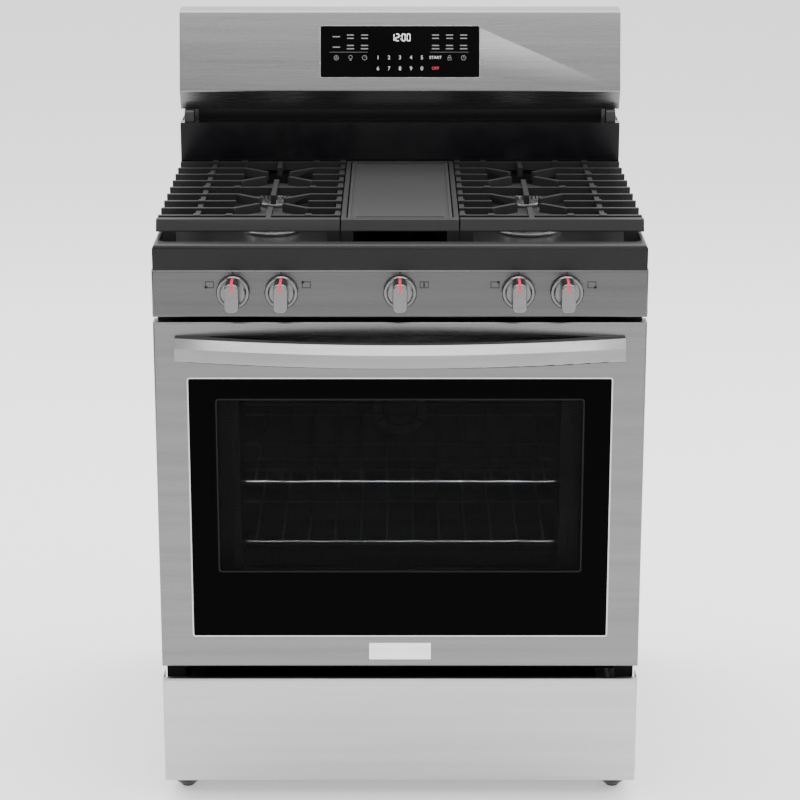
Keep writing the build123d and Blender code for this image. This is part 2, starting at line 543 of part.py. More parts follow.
STEM_Y, STEM_FLAT_BACK, STEM_FLAT_Z = (-324.0, -272.0), -306.0, 2.6
for name, x in KNOBS:
    with BuildPart() as valve_stem:
        rod((x, STEM_Y[0], KNOB_Z), (x, STEM_Y[1], KNOB_Z), STEM_R)
        flat_z = (KNOB_Z + STEM_FLAT_Z, KNOB_Z + STEM_R + 1)
        block((x - STEM_R, x + STEM_R), (STEM_Y[0] - 1, STEM_FLAT_BACK), flat_z, Mode.SUBTRACT)
    write(valve_stem, f"valve_stem_{name}")

THREAD_R, THREAD_L = 9.2, 16.0
CAP_R, SOCKET_R = 19.0, 15.0
SOCKET_Y = (INLET_Y + 18, INLET_Y + 36)
with BuildPart() as pressure_regulator:
    body_x = (MANIFOLD_X - 20, MANIFOLD_X + 16)
    block(body_x, (INLET_Y - 20, SOCKET_Y[0]), (INLET_Z - 20, INLET_Z + 30))
    rod((body_x[0], INLET_Y, INLET_Z), (body_x[0] - 32, INLET_Y, INLET_Z), CAP_R)
    rod((MANIFOLD_X, SOCKET_Y[0], INLET_Z), (MANIFOLD_X, SOCKET_Y[1], INLET_Z), SOCKET_R)
    thread_start = (MANIFOLD_X, SOCKET_Y[1] - THREAD_L, INLET_Z)
    rod(thread_start, (MANIFOLD_X, SOCKET_Y[1] + 1, INLET_Z), THREAD_R, Mode.SUBTRACT)
write(pressure_regulator, "pressure_regulator")

# ---------------------------------------------------------------- control panel and knobs
SHELL_EDGE_R, TOP_FLANGE_BACK, STEM_HOLE_R = 3.0, -290.0, 6.0
INNER_X = (-HALF + SHEET, HALF - SHEET)
with BuildPart() as control_panel:
    block((-HALF, HALF), (FRONT_Y, FRAME_Y[0]), (PANEL_BOTTOM, PANEL_TOP))
    fillet(control_panel.faces().sort_by(Axis.Y)[0].edges(), SHELL_EDGE_R)
    hollow_z = (PANEL_BOTTOM + SHEET, PANEL_TOP + 1)
    block(INNER_X, (FRONT_Y + SHEET, FRAME_Y[0] + 1), hollow_z, Mode.SUBTRACT)
    block(INNER_X, (FRONT_Y + SHEET, TOP_FLANGE_BACK), (PANEL_TOP - SHEET, PANEL_TOP))
    for name, x in KNOBS:
        rod((x, FRONT_Y - 1, KNOB_Z), (x, FRONT_Y + 4, KNOB_Z), STEM_HOLE_R, Mode.SUBTRACT)
write(control_panel, "control_panel")

KNOB_BACK, KNOB_FRONT = -304.0, -348.0
SKIRT_R, SKIRT_T, SKIRT_BEVEL = 25.7, 5.0, 1.6
GROOVE_OUT_R, GROOVE_IN_R, GROOVE_DEEP = 22.0, 20.6, 1.6
BOSS_R, BOSS_T = 18.0, 8.0
GRIP_ROOT, GRIP_ROOT_W, GRIP_ROOT_H = KNOB_BACK - 4.0, 22.5, 48.0
GRIP_W, GRIP_H, GRIP_R, GRIP_EDGE_R = 21.5, 45.0, 8.5, 2.5
BORE_END = -325.0
SKIRT_FACE = KNOB_BACK - SKIRT_T
KNOB_PROFILE = (
    (KNOB_BACK, 0),
    (KNOB_BACK, SKIRT_R),
    (KNOB_BACK - SKIRT_T / 2, SKIRT_R),
    (SKIRT_FACE, SKIRT_R - SKIRT_BEVEL),
    (SKIRT_FACE, GROOVE_OUT_R),
    (SKIRT_FACE + GROOVE_DEEP, GROOVE_OUT_R),
    (SKIRT_FACE + GROOVE_DEEP, GROOVE_IN_R),
    (SKIRT_FACE, GROOVE_IN_R),
    (KNOB_BACK - BOSS_T, BOSS_R),
    (KNOB_BACK - BOSS_T, 0),
)
for name, x in KNOBS:
    with BuildPart() as knob:
        with BuildSketch(Plane.YZ.offset(x)):
            with BuildLine():
                Polyline([(y, KNOB_Z + r) for y, r in KNOB_PROFILE], close=True)
            make_face()
        revolve(axis=Axis((x, 0, KNOB_Z), (0, 1, 0)))
        # the vertical grip, narrower at its front than at its root
        with BuildSketch(facing_front(GRIP_ROOT)):
            with Locations((x, KNOB_Z)):
                RectangleRounded(GRIP_ROOT_W, GRIP_ROOT_H, GRIP_R + 1)
        with BuildSketch(facing_front(KNOB_FRONT)):
            with Locations((x, KNOB_Z)):
                RectangleRounded(GRIP_W, GRIP_H, GRIP_R)
        loft()
        fillet(knob.faces().sort_by(Axis.Y)[0].edges(), GRIP_EDGE_R)
        bore_start = (x, KNOB_BACK + 1, KNOB_Z)
        rod(bore_start, (x, BORE_END, KNOB_Z), STEM_R + RUNNING_FIT, Mode.SUBTRACT)
    write(knob, f"knob_{name}")

# ---------------------------------------------------------------- backguard
RISER_Y, RISER_TOP = 262.0, 1007.0
SHELL_X = 378.5
FACE_LOW, FACE_HIGH = (270.0, 1061.0), (302.0, 1191.0)
BAND_LOW = (286.0, 1027.0)
with BuildPart() as riser_panel:
    block((-COOK_X, COOK_X), (RISER_Y, RISER_Y + SHEET), (WELL_Z, RISER_TOP))
    block((-COOK_X, COOK_X), (RISER_Y, RISER_Y + 26), (RISER_TOP - SHEET, RISER_TOP))
    for side, s in SIDES:
        block((s * (COOK_X - SHEET), s * COOK_X), (RISER_Y, REAR_SHEET_Y), (WELL_Z, RISER_TOP))
write(riser_panel, "riser_panel")

face_tilt = atan2(FACE_HIGH[0] - FACE_LOW[0], FACE_HIGH[1] - FACE_LOW[1])
face_length = hypot(FACE_HIGH[0] - FACE_LOW[0], FACE_HIGH[1] - FACE_LOW[1])
face_plane = Plane(
    origin=(0, (FACE_LOW[0] + FACE_HIGH[0]) / 2, (FACE_LOW[1] + FACE_HIGH[1]) / 2),
    x_dir=(1, 0, 0),
    z_dir=(0, -cos(face_tilt), sin(face_tilt)),
)
DISPLAY_W, DISPLAY_H, DISPLAY_R = 273.0, 88.0, 3.0
with BuildPart() as backguard_shell:
    with BuildSketch(Plane.YZ.offset(-SHELL_X)):
        with BuildLine():
            Polyline(
                BAND_LOW,
                FACE_LOW,
                FACE_HIGH,
                (FACE_HIGH[0] + 4, TOP_Z),
                (REAR_SHEET_Y, TOP_Z),
                (REAR_SHEET_Y, BAND_LOW[1]),
                close=True,
            )
        make_face()
    extrude(amount=2 * SHELL_X)
    fillet(backguard_shell.edges().filter_by(Axis.X).sort_by(Axis.Y)[0], 4)
    with BuildSketch(Plane.YZ.offset(-SHELL_X + SHEET)):
        with BuildLine():
            Polyline(
                (BAND_LOW[0] + 1, BAND_LOW[1] + SHEET),
                (FACE_LOW[0] + 4, FACE_LOW[1] - 1),
                (FACE_HIGH[0] + 2, FACE_HIGH[1] - 1),
                (FACE_HIGH[0] + 5, TOP_Z - SHEET),
                (REAR_SHEET_Y + 1, TOP_Z - SHEET),
                (REAR_SHEET_Y + 1, BAND_LOW[1] + SHEET),
                close=True,
            )
        make_face()
    extrude(amount=2 * (SHELL_X - SHEET), mode=Mode.SUBTRACT)
    with BuildSketch(face_plane.offset(2)):
        RectangleRounded(DISPLAY_W, DISPLAY_H, DISPLAY_R)
    extrude(amount=-12, mode=Mode.SUBTRACT)
write(backguard_shell, "backguard_shell")

with BuildPart() as display_glass:
    with BuildSketch(face_plane.offset(-3)):
        RectangleRounded(DISPLAY_W - 0.6, DISPLAY_H - 0.6, DISPLAY_R)
    extrude(amount=3.4)
write(display_glass, "display_glass")

with BuildPart() as control_board:
    with BuildSketch(face_plane.offset(-14)):
        Rectangle(230, 70)
    extrude(amount=1.6)
    with BuildSketch(face_plane.offset(-12.4)):
        with GridLocations(52, 34, 4, 2):
            Rectangle(26, 14)
    extrude(amount=8)
    with BuildSketch(face_plane.offset(-12.4)):
        with GridLocations(222, 62, 2, 2):
            Circle(3)
    extrude(amount=9.4)
write(control_board, "control_board")

SLOT_X, PLATE_Y = 352.0, (334.0, 336.0)
LOUVRE_END_Y, LOUVRE_MID_Y, LOUVRE_T = 316.0, 296.0, 3.0
SPACER_X, SPACER_Y = (355.0, 371.0), (270.0, 300.0)
with BuildPart() as vent_trim:
    for side, s in SIDES:
        block((s * SPACER_X[0], s * SPACER_X[1]), SPACER_Y, (RISER_TOP, BAND_LOW[1]))
    chamfer(vent_trim.edges().filter_by(Axis.X).group_by(Axis.Y)[0].group_by(Axis.Z)[-1], 3)
    block((-SLOT_X, SLOT_X), PLATE_Y, (RISER_TOP - 30, BAND_LOW[1]))
    # curved lip over the vent opening
    with BuildSketch(Plane.XY.offset(BAND_LOW[1] - LOUVRE_T)):
        with BuildLine():
            Line((-SLOT_X, PLATE_Y[0]), (SLOT_X, PLATE_Y[0]))
            Line((SLOT_X, PLATE_Y[0]), (SLOT_X, LOUVRE_END_Y))
            ThreePointArc((SLOT_X, LOUVRE_END_Y), (0, LOUVRE_MID_Y), (-SLOT_X, LOUVRE_END_Y))
            Line((-SLOT_X, LOUVRE_END_Y), (-SLOT_X, PLATE_Y[0]))
        make_face()
    extrude(amount=LOUVRE_T)
write(vent_trim, "vent_trim")

DUCT_T, DUCT_TOP = 1.5, RISER_TOP - 32.0
# inside of the flue in Y and Z: up its front wall from the oven, then down its rear wall
FLUE_FRONT = ((DUCT_Y[0], CAV_TOP + LINER_T), (DUCT_Y[0], 790.0), (292.0, 850.0), (292.0, DUCT_TOP))
FLUE_REAR = ((328.0, DUCT_TOP), (328.0, 830.0), (DUCT_Y[1], 772.0), (DUCT_Y[1], CAV_TOP + LINER_T))
with BuildPart() as flue_duct:
    for grow, mode in ((DUCT_T, Mode.ADD), (0.0, Mode.SUBTRACT)):
        front = [(y - grow, z + grow * (i in (1, 2))) for i, (y, z) in enumerate(FLUE_FRONT)]
        rear = [(y + grow, z - grow * (i in (1, 2))) for i, (y, z) in enumerate(FLUE_REAR)]
        with BuildSketch(Plane.YZ.offset(-DUCT_X - grow)):
            with BuildLine():
                Polyline(front + rear, close=True)
            make_face()
        extrude(amount=2 * (DUCT_X + grow), mode=mode)
write(flue_duct, "flue_duct")

# ---------------------------------------------------------------- screws
SCREW_R, SCREW_T = 4.5, 1.8
BACK_SCREW_X, BACK_SCREW_Z = (-362, -120, 120, 362), (120, 420, 660, 860, 1010)
SIDE_SCREW_Y, SIDE_SCREW_Z = (-200, 60, 320), 60.0
CAP_SCREW_Y, CAP_SCREW_Z = -282.0, 812.0
with BuildPart() as panel_screws:
    for x in BACK_SCREW_X:
        # the lowest screws at the sides are left out beside the gas pipe opening
        skip = 1 if abs(x) > 300 else 0
        for z in BACK_SCREW_Z[skip:]:
            rod((x, REAR_SHEET_Y + SHEET, z), (x, BACK_Y, z), SCREW_R)
    for side, s in SIDES:
        for y in SIDE_SCREW_Y:
            rod((s * BODY_X, y, SIDE_SCREW_Z), (s * (BODY_X + SCREW_T), y, SIDE_SCREW_Z), SCREW_R)
        head = s * (HALF + SHEET)
        rod((s * HALF, CAP_SCREW_Y, CAP_SCREW_Z), (head, CAP_SCREW_Y, CAP_SCREW_Z), SCREW_R)
write(panel_screws, "panel_screws")

# ---------------------------------------------------------------- grates
BAR_W, BAR_LOW = 8.0, 927.0
RAIL_Z = (922.0, 937.5)
FRONT_BAR_W, FOOT_W, FOOT_TOP = 22.0, 19.0, 924.0
BAR_TOP = GRATE_TOP - 1.2
OUTER_RAIL_X, INNER_RAIL_X = 318.0, 98.0
SIDE_GRATE_IN = CENTER_GRATE_X + GRATE_GAP
FINGER_GAP = 58.0
TIP = 20.0
FOOT_LIMIT = 367.0


def bar_y(i):
    """Centre of cross bar i, counted from the back."""
    return MID_BAR_Y + (4 - i) * BAR_PITCH


def beam(start, end, width, low, high):
    """A straight bar of rectangular section between two plan points."""
    a, b = Vector(*start), Vector(*end)
    mid = (a + b) / 2
    turn = degrees(atan2(b.Y - a.Y, b.X - a.X))
    with Locations(Location((mid.X, mid.Y, (low + high) / 2), (0, 0, turn))):
        Box((b - a).length, width, high - low)


def front_bar(x):
    """The deep front edge of a grate, with a foot at each end."""
    block(x, (GRATE_FRONT, GRATE_FRONT + FRONT_BAR_W), (FOOT_TOP, GRATE_TOP))
    low_x, high_x = max(min(x), -FOOT_LIMIT), min(max(x), FOOT_LIMIT)
    for foot in ((low_x, low_x + FOOT_W), (high_x - FOOT_W, high_x)):
        block(foot, (GRATE_FRONT, GRATE_FRONT + 12), (WELL_Z, FOOT_TOP))


def bevel_front(part):
    """Slopes the top front edge of a grate."""
    front_edges = part.edges().filter_by(Axis.X).group_by(Axis.Y)[0]
    chamfer(front_edges.group_by(Axis.Z)[-1], 7, 16)


def pad(s, x, y, back, front, low, high):
    """A raised block where bars cross, on side s."""
    block((s * (x - 5), s * (x + 5)), (y - back, y + front), (low, high))


for side, s in SIDES:
    with BuildPart() as grate:
        front_bar((s * SIDE_GRATE_IN, s * GRATE_OUTER_X))
        for i in range(9):
            y = bar_y(i)
            centre = REAR_BURNER_Y if i < 4 else FRONT_BURNER_Y
            if i in (0, 4, 8):
                beam((s * SIDE_GRATE_IN, y), (s * GRATE_OUTER_X, y), BAR_W, BAR_LOW, BAR_TOP)
                continue
            # a half bar from each edge; every second one turns in towards the burner
            for end, toward in ((GRATE_OUTER_X, 1), (SIDE_GRATE_IN, -1)):
                root = BURNER_X + toward * FINGER_GAP
                beam((s * root, y), (s * end, y), BAR_W, BAR_LOW, BAR_TOP)
                if i % 2:
                    tip_y = centre + TIP if y > centre else centre - TIP
                    tip = (s * (BURNER_X + toward * TIP), tip_y)
                    beam((s * root, y), tip, BAR_W, BAR_LOW, BAR_TOP)
                    rod((s * root, y, BAR_LOW), (s * root, y, BAR_TOP), BAR_W / 2)
        # rails under the bars, and the fingers between the burners
        for x in (OUTER_RAIL_X, INNER_RAIL_X):
            beam((s * x, GRATE_FRONT + 20), (s * x, bar_y(0)), BAR_W, *RAIL_Z)
        fingers = (
            (bar_y(0), REAR_BURNER_Y + 50),
            (REAR_BURNER_Y - 50, FRONT_BURNER_Y + 36),
            (FRONT_BURNER_Y - 52, GRATE_FRONT + 10),
        )
        for y0, y1 in fingers:
            beam((s * BURNER_X, y0), (s * BURNER_X, y1), BAR_W, BAR_LOW, GRATE_TOP)
        # pads where rails and bars cross, and the feet under two of them
        for x in (OUTER_RAIL_X, INNER_RAIL_X):
            for i in range(0, 9, 2):
                pad(s, x, bar_y(i), 8, 8, BAR_LOW, GRATE_TOP)
            for i in (0, 4):
                pad(s, x, bar_y(i), 8, 2, WELL_Z, BAR_LOW)
        for x in (BURNER_X - 62, BURNER_X + 62):
            for i in (0, 4, 8):
                pad(s, x, bar_y(i), 7, 7, BAR_LOW, GRATE_TOP)
        bevel_front(grate)
    write(grate, f"grate_{side}")

GRIDDLE_SHELF = 926.0
SIDE_BAR_W, SHELF_BARS = 8.0, (-150.0, MID_BAR_Y, 200.0)
with BuildPart() as grate_center:
    cx = CENTER_GRATE_X
    front_bar((-cx, cx))
    for s in (-1, 1):
        side_x = (s * (cx - SIDE_BAR_W), s * cx)
        block(side_x, (GRATE_FRONT, GRATE_BACK), (GRIDDLE_SHELF - 6, GRATE_TOP))
        block(side_x, (GRATE_BACK - 12, GRATE_BACK), (WELL_Z, GRIDDLE_SHELF))
    block((-cx, cx), (GRATE_BACK - SIDE_BAR_W, GRATE_BACK), (GRIDDLE_SHELF - 6, GRATE_TOP))
    for y in SHELF_BARS:
        block((-cx, cx), (y - 4, y + 4), (GRIDDLE_SHELF - 8, GRIDDLE_SHELF))
    bevel_front(grate_center)
write(grate_center, "grate_center")

GRIDDLE_X, GRIDDLE_Y, GRIDDLE_TOP = 81.5, (-201.0, 246.5), GRATE_TOP - 1.0
GRIDDLE_RIM, GRIDDLE_DISH, TROUGH_INSET, TROUGH_W, TROUGH_DEEP = 4.5, 2.2, 12.0, 10.0, 2.5
with BuildPart() as griddle:
    block((-GRIDDLE_X, GRIDDLE_X), GRIDDLE_Y, (GRIDDLE_SHELF + 0.3, GRIDDLE_TOP))
    fillet(griddle.edges().filter_by(Axis.Z), 5)
    dish_l = GRIDDLE_Y[1] - GRIDDLE_Y[0] - 2 * GRIDDLE_RIM
    with BuildSketch(Plane.XY.offset(GRIDDLE_TOP)):
        with Locations((0, sum(GRIDDLE_Y) / 2)):
            RectangleRounded(2 * (GRIDDLE_X - GRIDDLE_RIM), dish_l, 4)
    extrude(amount=-GRIDDLE_DISH, mode=Mode.SUBTRACT)
    # grease trough along the front
    with BuildSketch(Plane.XY.offset(GRIDDLE_TOP - GRIDDLE_DISH)):
        with Locations((0, GRIDDLE_Y[0] + 14)):
            RectangleRounded(2 * (GRIDDLE_X - TROUGH_INSET), TROUGH_W, 4)
    extrude(amount=-TROUGH_DEEP, mode=Mode.SUBTRACT)
write(griddle, "griddle")

# ---------------------------------------------------------------- oven door
SKIN_BACK = -272.0
LINER_FRONT, LINER_BACK = -272.0, -259.0
GLASS_LAP, GLASS_T, GLASS_CORNER_R = 10.0, 4.0, 3.0
with BuildPart() as door_skin:
    block((-HALF, HALF), (FRONT_Y, SKIN_BACK), (DOOR_BOTTOM, DOOR_TOP))
    fillet(door_skin.faces().sort_by(Axis.Y)[0].edges(), SHELL_EDGE_R)
    hollow_z = (DOOR_BOTTOM + SHEET, DOOR_TOP - SHEET)
    block(INNER_X, (FRONT_Y + SHEET, SKIN_BACK + 1), hollow_z, Mode.SUBTRACT)
    with BuildSketch(facing_front(FRONT_Y + 3)):
        with Locations((0, (GLASS_BOTTOM + GLASS_TOP) / 2)):
            RectangleRounded(2 * GLASS_X, GLASS_TOP - GLASS_BOTTOM, GLASS_CORNER_R)
    extrude(amount=5, mode=Mode.SUBTRACT)
    # notches in the lower edge for the hinge arms
    for s in (-1, 1):
        notch_x = (s * (HINGE_X - ARM_HOLE_X), s * (HINGE_X + ARM_HOLE_X))
        block(notch_x, (SKIN_BACK - 7, SKIN_BACK + 2), (DOOR_BOTTOM - 2, DOOR_BOTTOM + 4), Mode.SUBTRACT)
write(door_skin, "door_skin")

with BuildPart() as door_outer_glass:
    with BuildSketch(facing_front(FRONT_Y + SHEET + GLASS_T)):
        with Locations((0, (GLASS_BOTTOM + GLASS_TOP) / 2)):
            height = GLASS_TOP - GLASS_BOTTOM + 2 * GLASS_LAP
            RectangleRounded(2 * (GLASS_X + GLASS_LAP), height, GLASS_CORNER_R + 1)
    extrude(amount=GLASS_T)
write(door_outer_glass, "door_outer_glass")

LINER_X, LINER_LOW, LINER_HIGH, LINER_SHEET = 366.0, 240.0, 792.0, 2.0
PLUG_X, PLUG_BOTTOM, PLUG_TOP, PLUG_BACK = 294.0, 311.0, 724.0, -246.0
PLUG_R, PLUG_WALL, WINDOW_R = 16.0, 5.0, 8.0
MID_PANE_Y = -276.0
with BuildPart() as door_liner:
    block((-LINER_X, LINER_X), (LINER_FRONT, LINER_BACK), (LINER_LOW, LINER_HIGH))
    fillet(door_liner.edges().filter_by(Axis.Y), 6)
    # the plug that fills the oven opening
    plug_h = PLUG_TOP - PLUG_BOTTOM
    with BuildSketch(facing_front(LINER_BACK)):
        with Locations((0, (PLUG_BOTTOM + PLUG_TOP) / 2)):
            RectangleRounded(2 * PLUG_X, plug_h, PLUG_R)
    extrude(amount=LINER_BACK - PLUG_BACK)
    fillet(door_liner.faces().sort_by(Axis.Y)[-1].edges(), 5)
    block(
        (-LINER_X + LINER_SHEET, LINER_X - LINER_SHEET),
        (LINER_FRONT, LINER_BACK - LINER_SHEET),
        (LINER_LOW + LINER_SHEET, LINER_HIGH - LINER_SHEET),
        Mode.SUBTRACT,
    )
    with BuildSketch(facing_front(LINER_BACK - 3)):
        with Locations((0, (PLUG_BOTTOM + PLUG_TOP) / 2)):
            RectangleRounded(2 * (PLUG_X - PLUG_WALL), plug_h - 2 * PLUG_WALL, PLUG_R - 4)
    extrude(amount=LINER_BACK - 3 - PLUG_BACK + LINER_SHEET, mode=Mode.SUBTRACT)
    window_h = WINDOW_TOP - WINDOW_BOTTOM
    with BuildSketch(facing_front(PLUG_BACK + 1)):
        with Locations((0, (WINDOW_BOTTOM + WINDOW_TOP) / 2)):
            RectangleRounded(2 * WINDOW_X, window_h, WINDOW_R)
    extrude(amount=6, mode=Mode.SUBTRACT)
    for s in (-1, 1):
        arm_slot = (s * (HINGE_X - 7), s * (HINGE_X + 7))
        slot_z = (LINER_LOW - 1, HINGE_Z + 18)
        block(arm_slot, (LINER_FRONT - 1, LINER_BACK + 1), slot_z, Mode.SUBTRACT)
    # frame that holds the two inner panes apart
    with BuildSketch(facing_front(PLUG_BACK - 6)):
        with Locations((0, (WINDOW_BOTTOM + WINDOW_TOP) / 2)):
            RectangleRounded(2 * WINDOW_X + 34, window_h + 28, WINDOW_R)
            RectangleRounded(2 * WINDOW_X + 16, window_h + 10, WINDOW_R, mode=Mode.SUBTRACT)
    extrude(amount=PLUG_BACK - 6 - MID_PANE_Y)
write(door_liner, "door_liner")

with BuildPart() as door_inner_glass:
    for glass_y in (PLUG_BACK - LINER_SHEET, MID_PANE_Y):
        with BuildSketch(facing_front(glass_y)):
            with Locations((0, (WINDOW_BOTTOM + WINDOW_TOP) / 2)):
                RectangleRounded(2 * WINDOW_X + 36, window_h + 30, WINDOW_R)
        extrude(amount=GLASS_T)
write(door_inner_glass, "door_inner_glass")

HANDLE_IN_X, HANDLE_DEPTH, HANDLE_END_Y = 300.0, 20.0, FRONT_Y - 18
CREASE_DROP, CREASE_SETBACK, LOWER_EDGE_R = 14.0, 8.0, 2.5
with BuildPart() as door_handle:
    with BuildSketch(Plane.XY.offset(HANDLE_BOTTOM)):
        with BuildLine():
            ThreePointArc((-HANDLE_X, HANDLE_END_Y), (0, HANDLE_Y), (HANDLE_X, HANDLE_END_Y))
            Line((HANDLE_X, HANDLE_END_Y), (HANDLE_X, FRONT_Y))
            Line((HANDLE_X, FRONT_Y), (HANDLE_IN_X, FRONT_Y))
            ThreePointArc(
                (HANDLE_IN_X, FRONT_Y),
                (0, HANDLE_Y + HANDLE_DEPTH),
                (-HANDLE_IN_X, FRONT_Y),
            )
            Line((-HANDLE_IN_X, FRONT_Y), (-HANDLE_X, FRONT_Y))
            Line((-HANDLE_X, FRONT_Y), (-HANDLE_X, HANDLE_END_Y))
        make_face()
    extrude(amount=HANDLE_TOP - HANDLE_BOTTOM)
    # the outer face is rounded below and slopes back above a crease
    outer_face = door_handle.faces().filter_by(GeomType.CYLINDER).sort_by(Axis.Y)[0]
    fillet(outer_face.edges().group_by(Axis.Z)[0], LOWER_EDGE_R)
    outer_face = door_handle.faces().filter_by(GeomType.CYLINDER).sort_by(Axis.Y)[0]
    top_edge = outer_face.edges().group_by(Axis.Z)[-1]
    chamfer(top_edge, CREASE_DROP, CREASE_SETBACK, reference=outer_face)
write(door_handle, "door_handle")

ARM_T, ARM_H, ARM_BACK, EYE_R, PIN_R = 4.0, 12.0, -150.0, 8.0, 4.0
with BuildPart() as hinge_arms:
    for side, s in SIDES:
        with BuildSketch(Plane.YZ.offset(s * HINGE_X - ARM_T / 2)):
            with Locations(((HINGE_Y + ARM_BACK) / 2, HINGE_Z)):
                Rectangle(ARM_BACK - HINGE_Y, ARM_H)
            with Locations((HINGE_Y, HINGE_Z)):
                Circle(EYE_R)
                Circle(PIN_R + RUNNING_FIT, mode=Mode.SUBTRACT)
        extrude(amount=ARM_T)
        anchor_z = (HINGE_Z - ARM_H / 2, HINGE_Z + ARM_H / 2)
        block((s * HINGE_X, s * SKIN_X), (ARM_BACK - 20, ARM_BACK), anchor_z)
write(hinge_arms, "hinge_arms")

EAR_X, EAR_Y, EAR_Z = (3.0, 6.0), (-294.0, -262.0), (238.0, 420.0)
with BuildPart() as hinge_channels:
    for side, s in SIDES:
        x = s * HINGE_X
        for ear in (-1, 1):
            block((x + ear * EAR_X[0], x + ear * EAR_X[1]), EAR_Y, EAR_Z)
        block((x - EAR_X[1], x + EAR_X[1]), (EAR_Y[0], EAR_Y[0] + 3), EAR_Z)
        rod((x - EAR_X[1], HINGE_Y, HINGE_Z), (x + EAR_X[1], HINGE_Y, HINGE_Z), PIN_R)
write(hinge_channels, "hinge_channels")

# ---------------------------------------------------------------- drawer
BOX_X, BOX_BACK, BOX_BOTTOM, BOX_TOP = 318.0, 240.0, 48.0, 190.0
PULL_TOP = 206.0
DRAWER_BACK = -258.0
with BuildPart() as drawer_front:
    block((-HALF, HALF), (FRONT_Y, DRAWER_BACK), (LEG_Z, DRAWER_TOP))
    fillet(drawer_front.faces().sort_by(Axis.Y)[0].edges(), SHELL_EDGE_R)
    hollow_z = (LEG_Z + SHEET, DRAWER_TOP + 1)
    block(INNER_X, (FRONT_Y + SHEET, DRAWER_BACK + 1), hollow_z, Mode.SUBTRACT)
    block(INNER_X, (FRONT_Y + SHEET, TOP_FLANGE_BACK), (DRAWER_TOP - SHEET, DRAWER_TOP))
write(drawer_front, "drawer_front")

BOX_FRONT, WING_X = -284.0, 370.0
LEDGE_FRONT, LEDGE_X, LEDGE_END = -289.7, 322.0, 14.0
with BuildPart() as drawer_box:
    block((-BOX_X, BOX_X), (BOX_FRONT, BOX_BACK), (BOX_BOTTOM, BOX_TOP))
    block(
        (-BOX_X + SHEET, BOX_X - SHEET),
        (BOX_FRONT + SHEET, BOX_BACK - SHEET),
        (BOX_BOTTOM + SHEET, BOX_TOP + 1),
        Mode.SUBTRACT,
    )
    block((-WING_X, WING_X), (BOX_FRONT, BOX_FRONT + SHEET), (BOX_BOTTOM, PULL_TOP))
    # finger pull: a ledge with angled ends along the top of the front wall
    with BuildSketch(Plane.XY.offset(PULL_TOP)):
        with BuildLine():
            Polyline(
                (-LEDGE_X - LEDGE_END, BOX_FRONT),
                (LEDGE_X + LEDGE_END, BOX_FRONT),
                (LEDGE_X, LEDGE_FRONT),
                (-LEDGE_X, LEDGE_FRONT),
                close=True,
            )
        make_face()
    extrude(amount=-SHEET)
write(drawer_box, "drawer_box")

ROLLER_Z, ROLLER_R, AXLE_R = 119.0, 9.8, 3.0
ROLLER_X = (333.0, 343.0)
ROLLER_Y = BOX_BACK - 16
RUNNER_Y = (-240.0, BOX_BACK)
with BuildPart() as drawer_runners:
    for side, s in SIDES:
        block((s * BOX_X, s * (BOX_X + SHEET)), RUNNER_Y, (100, 126))
        block((s * BOX_X, s * (BOX_X + 8)), RUNNER_Y, (111, 113))
        rod((s * BOX_X, ROLLER_Y, ROLLER_Z), (s * ROLLER_X[1], ROLLER_Y, ROLLER_Z), AXLE_R)
        rod((s * ROLLER_X[0], ROLLER_Y, ROLLER_Z), (s * ROLLER_X[1], ROLLER_Y, ROLLER_Z), ROLLER_R)
write(drawer_runners, "drawer_runners")

CHANNEL_Y = (-235.0, 270.0)
CHANNEL_X = (331.0, 346.5)
CHANNEL_Z = (107.0, 131.0)
WHEEL_Y, WHEEL_Z, WHEEL_R = -228.0, 104.2, 6.0
with BuildPart() as drawer_rails:
    for side, s in SIDES:
        web = (s * (CHANNEL_X[1] - SHEET), s * CHANNEL_X[1])
        block(web, CHANNEL_Y, CHANNEL_Z)
        for z in (CHANNEL_Z[0], CHANNEL_Z[1] - SHEET):
            block((s * CHANNEL_X[0], s * CHANNEL_X[1]), CHANNEL_Y, (z, z + SHEET))
        # front wheel that the runner rides on, and its bracket
        block((s * 327, s * CHANNEL_X[1]), (WHEEL_Y - 6, WHEEL_Y + 6), (98, CHANNEL_Z[0]))
        rod((s * 320, WHEEL_Y, WHEEL_Z), (s * 327, WHEEL_Y, WHEEL_Z), WHEEL_R)
        for y in (-230, 260):
            block((s * CHANNEL_X[1], s * SKIN_X), (y - 8, y + 8), (108, 116))
write(drawer_rails, "drawer_rails")
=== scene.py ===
from math import atan2, cos, pi, radians, sin

import bmesh
import bpy
from mathutils import Matrix, Vector


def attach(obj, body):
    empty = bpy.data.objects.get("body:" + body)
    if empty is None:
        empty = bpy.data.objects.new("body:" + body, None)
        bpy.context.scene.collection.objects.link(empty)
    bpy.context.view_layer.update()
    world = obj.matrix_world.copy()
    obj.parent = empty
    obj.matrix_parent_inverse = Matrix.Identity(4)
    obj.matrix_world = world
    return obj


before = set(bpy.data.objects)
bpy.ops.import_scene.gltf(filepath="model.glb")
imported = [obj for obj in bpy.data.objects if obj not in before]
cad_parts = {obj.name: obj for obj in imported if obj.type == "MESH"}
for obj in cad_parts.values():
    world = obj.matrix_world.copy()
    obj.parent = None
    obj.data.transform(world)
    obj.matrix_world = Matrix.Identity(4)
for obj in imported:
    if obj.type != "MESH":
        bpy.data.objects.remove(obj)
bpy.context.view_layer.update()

MM = 0.001

